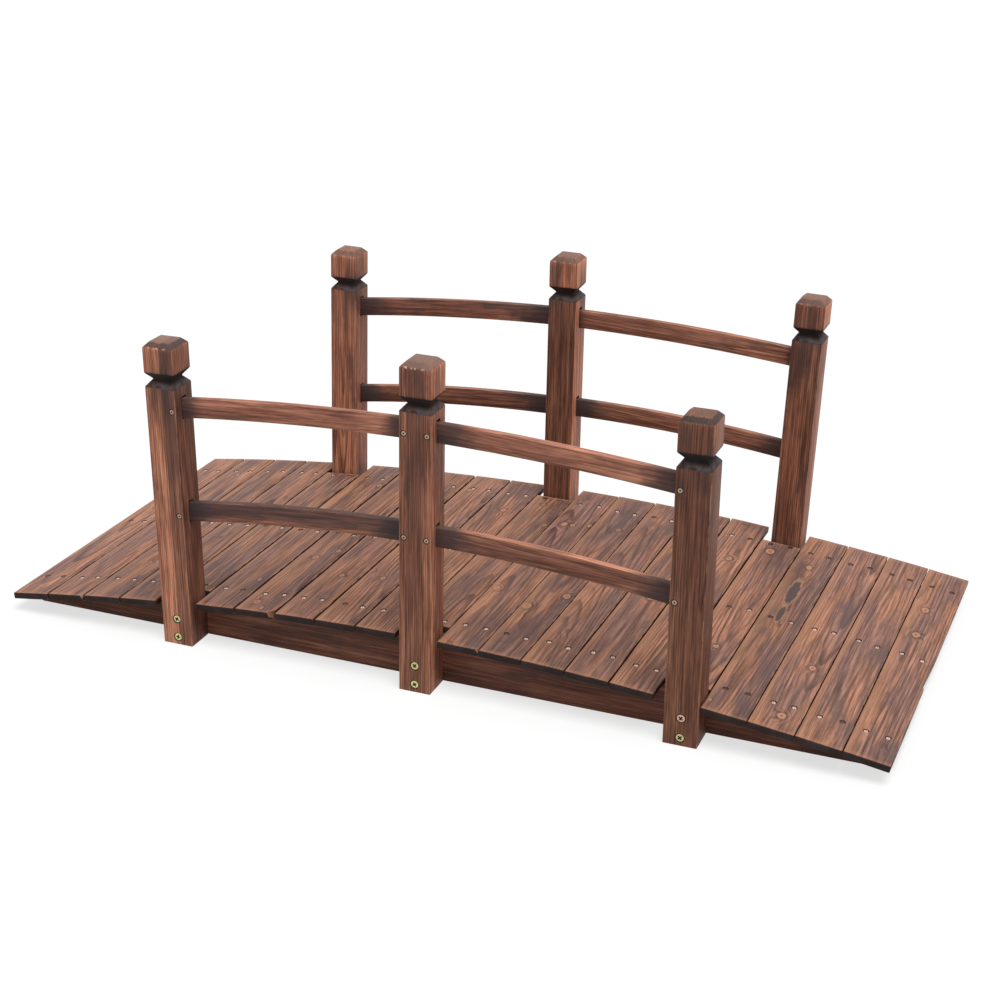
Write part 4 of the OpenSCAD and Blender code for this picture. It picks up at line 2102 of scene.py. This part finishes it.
@dataclass
class Post:
    """One square post with its groove, head, pockets and screws."""

    side: Side
    place: Place
    finishes: Finishes
    foot_screws: ScrewSet
    rail_screws: ScrewSet
    foot_levels: tuple[float, float] = (46 * MM, 13 * MM)
    rail_screw_reach: float = 19 * MM
    foot_spare: float = 2 * MM
    sink: float = 0.6 * MM

    @property
    def label(self) -> str:
        """The post's name."""
        return f"{self.side.name.lower()}_{self.place.name.lower()}"

    @property
    def form(self) -> PostForm:
        """The post's own sizes and wood."""
        return POST_FORMS[(self.side, self.place)]

    @property
    def ways(self) -> tuple[int, ...]:
        """Which sides have pockets: 1 for the one towards +X and -1 for the other."""
        return tuple(way for way in (-1, 1) if abs(self.place.value + way) < 2)

    def build(self) -> None:
        """Make the post."""
        piece = self.turned()
        lean = math.radians(self.form.lean)
        foot = Vector((post_line_x(self.side, self.place, 0), SIZES.post_y(self.side), 0))
        stand = Matrix.Translation(foot) @ Matrix.Rotation(lean, 4, "Y")
        Workshop.move(piece, stand)
        Workshop.bisect(piece, (0, 0, 0), (0, 0, -1))
        cutters = [self.mortise(level, way) for level in Level for way in self.ways]
        cutters += self.drill()
        Workshop.carve(piece, cutters)
        Workshop.smooth(piece, 35)
        groove = self.form.height - self.form.head - SIZES.groove_height / 2
        home = stand.inverted()

        def grain(at: Vector) -> Triple:
            """Place along, across and through the post, from the groove's middle."""
            local = home @ at
            return local.z - groove, local.x, local.y

        half = SIZES.post_width(self.side) / 2
        # Painted light and shade on each face of the post, with its sides' scorch.
        faces = PaintedLight(side=self.form.side_scorch_and_light)
        board = Board(
            seed="post " + self.label,
            half=(self.form.height, half, half),
            shade=self.form.shade,
            scorch=self.form.scorch,
            reach=SIZES.groove_height / 2 + self.form.head - SIZES.head_chamfer,
            band=self.form.band,
            cap=self.form.cap,
            faces=faces,
            painted_head_faces=PaintedLight(*(part * light for part, light in zip(faces, self.form.painted_head_light))),
        )
        board.mark(piece, grain)
        Workshop.finish(piece, "post_" + self.label, "post_wood")

    def turned(self) -> bpy.types.Object:
        """Shape the post upright at the origin by raising its top step by step.

        Returns:
            The object.
        """
        width = SIZES.post_width(self.side)
        top = self.form.height
        head = top - self.form.head
        shaft_top = head - SIZES.groove_height
        piece = Workshop.block(
            "fir_post_" + self.label,
            (width, width, shaft_top + self.foot_spare),
            (0, 0, (shaft_top - self.foot_spare) / 2),
        )
        piece.data.materials.append(self.finishes.post)
        neck = width - 2 * SIZES.groove_depth
        crown = width - 2 * SIZES.head_chamfer
        level, size = shaft_top, width
        for next_level, next_size in (
            (head - SIZES.groove_height / 2, neck),
            (head, width),
            (top - SIZES.head_chamfer, width),
            (top, crown),
        ):
            Workshop.select_where(
                piece, lambda face: face.normal.z > 0.9 and face.center.z > shaft_top - MM
            )
            bpy.ops.mesh.extrude_region_move(
                TRANSFORM_OT_translate={"value": (0, 0, next_level - level)}
            )
            share = next_size / size
            bpy.ops.transform.resize(value=(share, share, 1))
            bpy.ops.object.mode_set(mode="OBJECT")
            level, size = next_level, next_size
        Workshop.divide(piece, Axis.Z, 5)
        Workshop.ease(piece, SIZES.post_ease, 2)
        return piece

    def mortise(self, level: Level, way: int) -> bpy.types.Object:
        """Make the cutter of a pocket for a rail's end.

        Args:
            level: which rail it takes.
            way: 1 for the post's side towards +X and -1 for the other.

        Returns:
            The cutter.
        """
        arc = RAIL_ARCS[level]
        face = post_face_x(self.side, self.place, arc.height, way)
        middle = post_line_x(self.side, Place.MID, arc.height)
        tip = face - way * SIZES.tenon_length
        lowest = arc.z_at(max(abs(face - middle), abs(tip - middle)))
        floor = lowest - end_drop(self.side, self.place, way, level) - SIZES.seat
        depth = SIZES.tenon_length + SIZES.mortise_spare
        spare = 2 * MM
        size = (
            depth + spare,
            SIZES.rail_thickness + 2 * SIZES.mortise_side_gap,
            SIZES.rail_depth + SIZES.mortise_top_gap + SIZES.seat,
        )
        centre = (
            face + way * (spare - depth) / 2,
            SIZES.post_y(self.side),
            floor + size[2] / 2,
        )
        cutter = Workshop.block("mortise", size, centre)
        cutter.data.materials.append(self.finishes.pocket)
        return cutter

    def drill(self) -> list[bpy.types.Object]:
        """Drill the outer face and set the screws.

        Returns:
            The cutters of the countersinks.
        """
        cutters = []
        spots = [(self.foot_screws, 0.0, height) for height in self.foot_levels]
        for level in Level:
            arc = RAIL_ARCS[level]
            middle = post_line_x(self.side, Place.MID, arc.height)
            for way in self.ways:
                x = post_line_x(self.side, self.place, arc.height) + way * self.rail_screw_reach
                drop = end_drop(self.side, self.place, way, level)
                height = arc.z_at(x - middle) - drop + SIZES.rail_depth / 2
                spots.append((self.rail_screws, way * self.rail_screw_reach, height))
        out = self.side.value
        facing = Matrix.Rotation(math.radians(-90 * out), 4, "X")
        for index, (screws, aside, height) in enumerate(spots):
            x = post_line_x(self.side, self.place, height) + aside
            face = SIZES.post_y(self.side) + out * SIZES.post_width(self.side) / 2
            hole = Matrix.Translation((x, face, height)) @ facing
            cutters.append(screws.countersink(hole))
            seat = hole @ Matrix.Translation((0, 0, -self.sink))
            screws.place(seat, self.plating(screws, index), f"screw {self.label} {index}")
        return cutters

    def plating(self, screws: ScrewSet, index: int) -> Plating:
        """How one of the post's screws looks.

        Args:
            screws: the set it comes from.
            index: its number, from 0 for the upper one at the foot.

        Returns:
            The plating.
        """
        if screws is self.rail_screws:
            return Plating.DULL
        return Plating.PINK if self.place is Place.RIGHT and index == 0 else Plating.YELLOW


@dataclass
class Rail:
    """One curved rail of a bay."""

    side: Side
    bay: int
    level: Level
    finish: bpy.types.Material
    steps: int = 24
    edge_round: float = 1.3 * MM
    spare_turn: float = 0.012

    @property
    def label(self) -> str:
        """The rail's name."""
        bay = "left" if self.bay < 0 else "right"
        return f"{self.side.name.lower()}_{bay}_{self.level.value}"

    def build(self) -> None:
        """Make the rail."""
        arc = RAIL_ARCS[self.level]
        places = (Place.LEFT, Place.MID) if self.bay < 0 else (Place.MID, Place.RIGHT)
        left_face = post_face_x(self.side, places[0], arc.height, 1)
        right_face = post_face_x(self.side, places[1], arc.height, -1)
        left, right = left_face - SIZES.tenon_length, right_face + SIZES.tenon_length
        middle = post_line_x(self.side, Place.MID, arc.height)
        centre = Vector((middle, SIZES.post_y(self.side), arc.height - arc.radius))
        first = math.asin((left - middle) / arc.radius) - self.spare_turn
        last = math.asin((right - middle) / arc.radius) + self.spare_turn
        piece = self.spun(arc, centre, first, last)
        left_drop = end_drop(self.side, places[0], 1, self.level)
        right_drop = end_drop(self.side, places[1], -1, self.level)
        tilt = math.atan((left_drop - right_drop) / (right_face - left))
        pivot = Vector((right_face, 0, arc.z_at(right_face - middle)))
        down = Matrix.Translation(pivot - Vector((0, 0, right_drop)))
        lower = down @ Matrix.Rotation(-tilt, 4, "Y") @ Matrix.Translation(-pivot)
        Workshop.move(piece, lower)
        Workshop.bisect(piece, (left, 0, 0), (-1, 0, 0))
        Workshop.bisect(piece, (right, 0, 0), (1, 0, 0))
        Workshop.ease(piece, self.edge_round, 2)
        Workshop.smooth(piece, 35)
        home = lower.inverted()
        mean = arc.radius + SIZES.rail_depth / 2
        straight = Matrix.Rotation(-(first + last) / 2, 4, "Y")

        def grain(at: Vector) -> Triple:
            """Place in the straight board that the rail was sawn from."""
            local = straight @ (home @ at - centre)
            return local.x, local.z - mean, local.y

        def form(at: Vector) -> Triple:
            """Place along the curve, across the rail's depth and through it."""
            local = straight @ (home @ at - centre)
            bend = math.hypot(local.x, local.z) - mean
            return math.atan2(local.x, local.z) * mean, bend, local.y

        # The look's shade and top carry painted light and shade as well as the wood's lightness.
        look = RAIL_LOOKS[(self.side, self.bay, self.level)]
        board = Board(
            seed="rail " + self.label,
            half=((right - left) / 2, SIZES.rail_depth / 2, SIZES.rail_thickness / 2),
            shade=look.shade,
            scorch=look.scorch,
            reach=look.ends,
            band=look.band,
            faces=PaintedLight(top=look.top / look.shade),
        )
        board.mark(piece, grain, form)
        Workshop.finish(piece, "rail_" + self.label, "rail_wood")

    def spun(self, arc: RailArc, centre: Vector, first: float, last: float) -> bpy.types.Object:
        """Spin the rail's section along its arc.

        Args:
            arc: the underside's curve.
            centre: its centre.
            first: angle of the left end from upright.
            last: angle of the right end.

        Returns:
            The object.
        """
        Workshop.deselect()
        bpy.ops.mesh.primitive_plane_add(size=1)
        section = Workshop.settle("fir_rail_" + self.label)
        section.data.materials.append(self.finish)
        stretch = Matrix.Diagonal((SIZES.rail_depth, SIZES.rail_thickness, 1, 1))
        upright = Matrix.Rotation(math.radians(-90), 4, "Y")
        out = Matrix.Translation((0, 0, arc.radius + SIZES.rail_depth / 2))
        start = Matrix.Translation(centre) @ Matrix.Rotation(first, 4, "Y") @ out @ upright @ stretch
        Workshop.move(section, start)
        Workshop.select_where(section, lambda face: True)
        bpy.ops.mesh.spin(steps=self.steps, angle=first - last, center=centre, axis=(0, 1, 0))
        bpy.ops.mesh.select_all(action="SELECT")
        bpy.ops.mesh.remove_doubles(threshold=0.01 * MM)
        bpy.ops.mesh.normals_make_consistent(inside=False)
        bpy.ops.object.mode_set(mode="OBJECT")
        return section


@dataclass
class Railings:
    """Both railings: six posts, eight rails and their screws."""

    finishes: Finishes
    foot_kind: ScrewKind = ScrewKind("foot_screw", head=13 * MM, height=3 * MM, recess=2 * MM)
    rail_kind: ScrewKind = ScrewKind(
        "rail_screw", head=7.4 * MM, height=2 * MM, recess=1.4 * MM, gap=1.7 * MM
    )

    def build(self) -> None:
        """Make every post, rail and screw of the railings."""
        foot = ScrewSet(self.foot_kind, self.finishes)
        small = ScrewSet(self.rail_kind, self.finishes)
        for side in Side:
            for place in Place:
                Post(side, place, self.finishes, foot, small).build()
            for bay in (-1, 1):
                for level in Level:
                    Rail(side, bay, level, self.finishes.rail).build()
        foot.gather("screws_feet")
        small.gather("screws_rails")
        foot.discard()
        small.discard()


@dataclass
class Beams:
    """The three arched beams, whose solids stay and get their finish."""

    finishes: Finishes
    nodes: tuple[str, ...] = ("beam_near", "beam_middle", "beam_far")

    def dress(self) -> None:
        """Give each beam its finish."""
        for name in self.nodes:
            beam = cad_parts[name]
            for slot in beam.material_slots:
                slot.material = self.finishes.beam
            LOG.info("%s: dressed", name)


@dataclass
class Studio:
    """Floor, light and camera round the bridge.

    The sky is the strength of its light. The key light comes from a direction, and
    its angle in degrees softens its shadows. The camera's yaw and pitch are in radians.
    """

    floor_size: float = 60.0
    paper: float = 0.36
    paper_glow: float = 0.68
    sky: float = 0.44
    key_strength: float = 2.3
    key_from: Triple = (0.26, -0.24, 0.93)
    key_angle: float = 36
    camera_at: Triple = (1.07066, -2.73420, 1.41679)
    camera_yaw: float = 0.3989
    camera_pitch: float = -0.4008
    lens: float = 67.26
    film_width: float = 36
    shift: tuple[float, float] = (0.0491, 0.0128)
    sight: tuple[float, float] = (0.05, 100)

    WHITE = (1, 1, 1, 1)

    def build(self) -> None:
        """Set the floor, the sky, the lamp and the camera."""
        self.floor()
        self.world()
        self.key()
        self.camera()
        bpy.context.scene.view_settings.view_transform = "Standard"
        LOG.info("studio: floor, sky, key light and camera")

    @staticmethod
    def seen(canvas: Canvas) -> Socket:
        """Mask the rays that see the background as it is.

        Args:
            canvas: the canvas of the floor or the sky.

        Returns:
            The mask.
        """
        path = canvas.node("LightPath").outputs
        gloss = canvas.most(path["Is Camera Ray"], path["Is Glossy Ray"])
        return canvas.most(gloss, path["Is Transmission Ray"])

    def floor(self) -> None:
        """Lay the pale floor, which keeps a faint shadow."""
        Workshop.deselect()
        bpy.ops.mesh.primitive_plane_add(size=self.floor_size, location=(0, 0, -0.2 * MM))
        floor = Workshop.settle("studio_floor")
        material = bpy.data.materials.new("studio_paper")
        canvas = Canvas.fresh(material)
        seen = self.seen(canvas)
        grey = (self.paper, self.paper, self.paper, 1)
        paper = canvas.node("BsdfDiffuse", canvas.mix(seen, grey, self.WHITE))
        glow = canvas.node("Emission", self.WHITE, 1.0)
        share = canvas.times(seen, self.open_floor(canvas))
        canvas.end(canvas.node("MixShader", share, paper.outputs[0], glow.outputs[0]))
        floor.data.materials.append(material)

    def open_floor(self, canvas: Canvas) -> Socket:
        """How much the paper glows: not at all in the shade under the deck.

        Args:
            canvas: the paper's canvas.

        Returns:
            The share.
        """
        along, across, _ = canvas.split(canvas.vector("ABSOLUTE", canvas.place()))
        past_end = canvas.ramp(along, SIZES.deck_length / 2 - 20 * MM, SIZES.deck_length / 2)
        past_side = canvas.ramp(across, SIZES.beam_spread / 2 - 15 * MM, SIZES.beam_spread / 2)
        return canvas.times(canvas.most(past_end, past_side), self.paper_glow)

    def world(self) -> None:
        """Set an even pale sky that looks white."""
        world = bpy.data.worlds.new("studio_sky")
        bpy.context.scene.world = world
        canvas = Canvas.fresh(world)
        strength = canvas.times_plus(self.seen(canvas), 1 - self.sky, self.sky)
        canvas.end(canvas.node("Background", self.WHITE, strength), "OutputWorld")

    def key(self) -> None:
        """Hang one broad lamp high at the right front."""
        Workshop.deselect()
        bpy.ops.object.light_add(type="SUN", location=self.key_from)
        lamp = bpy.context.object
        lamp.name = "key_light"
        lamp.data.energy = self.key_strength
        lamp.data.angle = math.radians(self.key_angle)
        lamp.rotation_euler = Vector(self.key_from).to_track_quat("Z", "Y").to_euler()

    def camera(self) -> None:
        """Stand the camera where the photograph was taken from."""
        Workshop.deselect()
        bpy.ops.object.camera_add(
            location=self.camera_at,
            rotation=(math.pi / 2 + self.camera_pitch, 0, self.camera_yaw),
        )
        camera = bpy.context.object
        camera.name = "photo_camera"
        camera.data.lens = self.lens
        camera.data.sensor_fit = "HORIZONTAL"
        camera.data.sensor_width = self.film_width
        camera.data.shift_x, camera.data.shift_y = self.shift
        camera.data.clip_start, camera.data.clip_end = self.sight
        bpy.context.scene.camera = camera


def main() -> None:
    """Build the bridge round its frame."""
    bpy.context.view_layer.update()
    finishes = Finishes()
    Deck(finishes).build()
    Railings(finishes).build()
    Beams(finishes).dress()
    Studio().build()


if __name__ == "__main__":
    main()
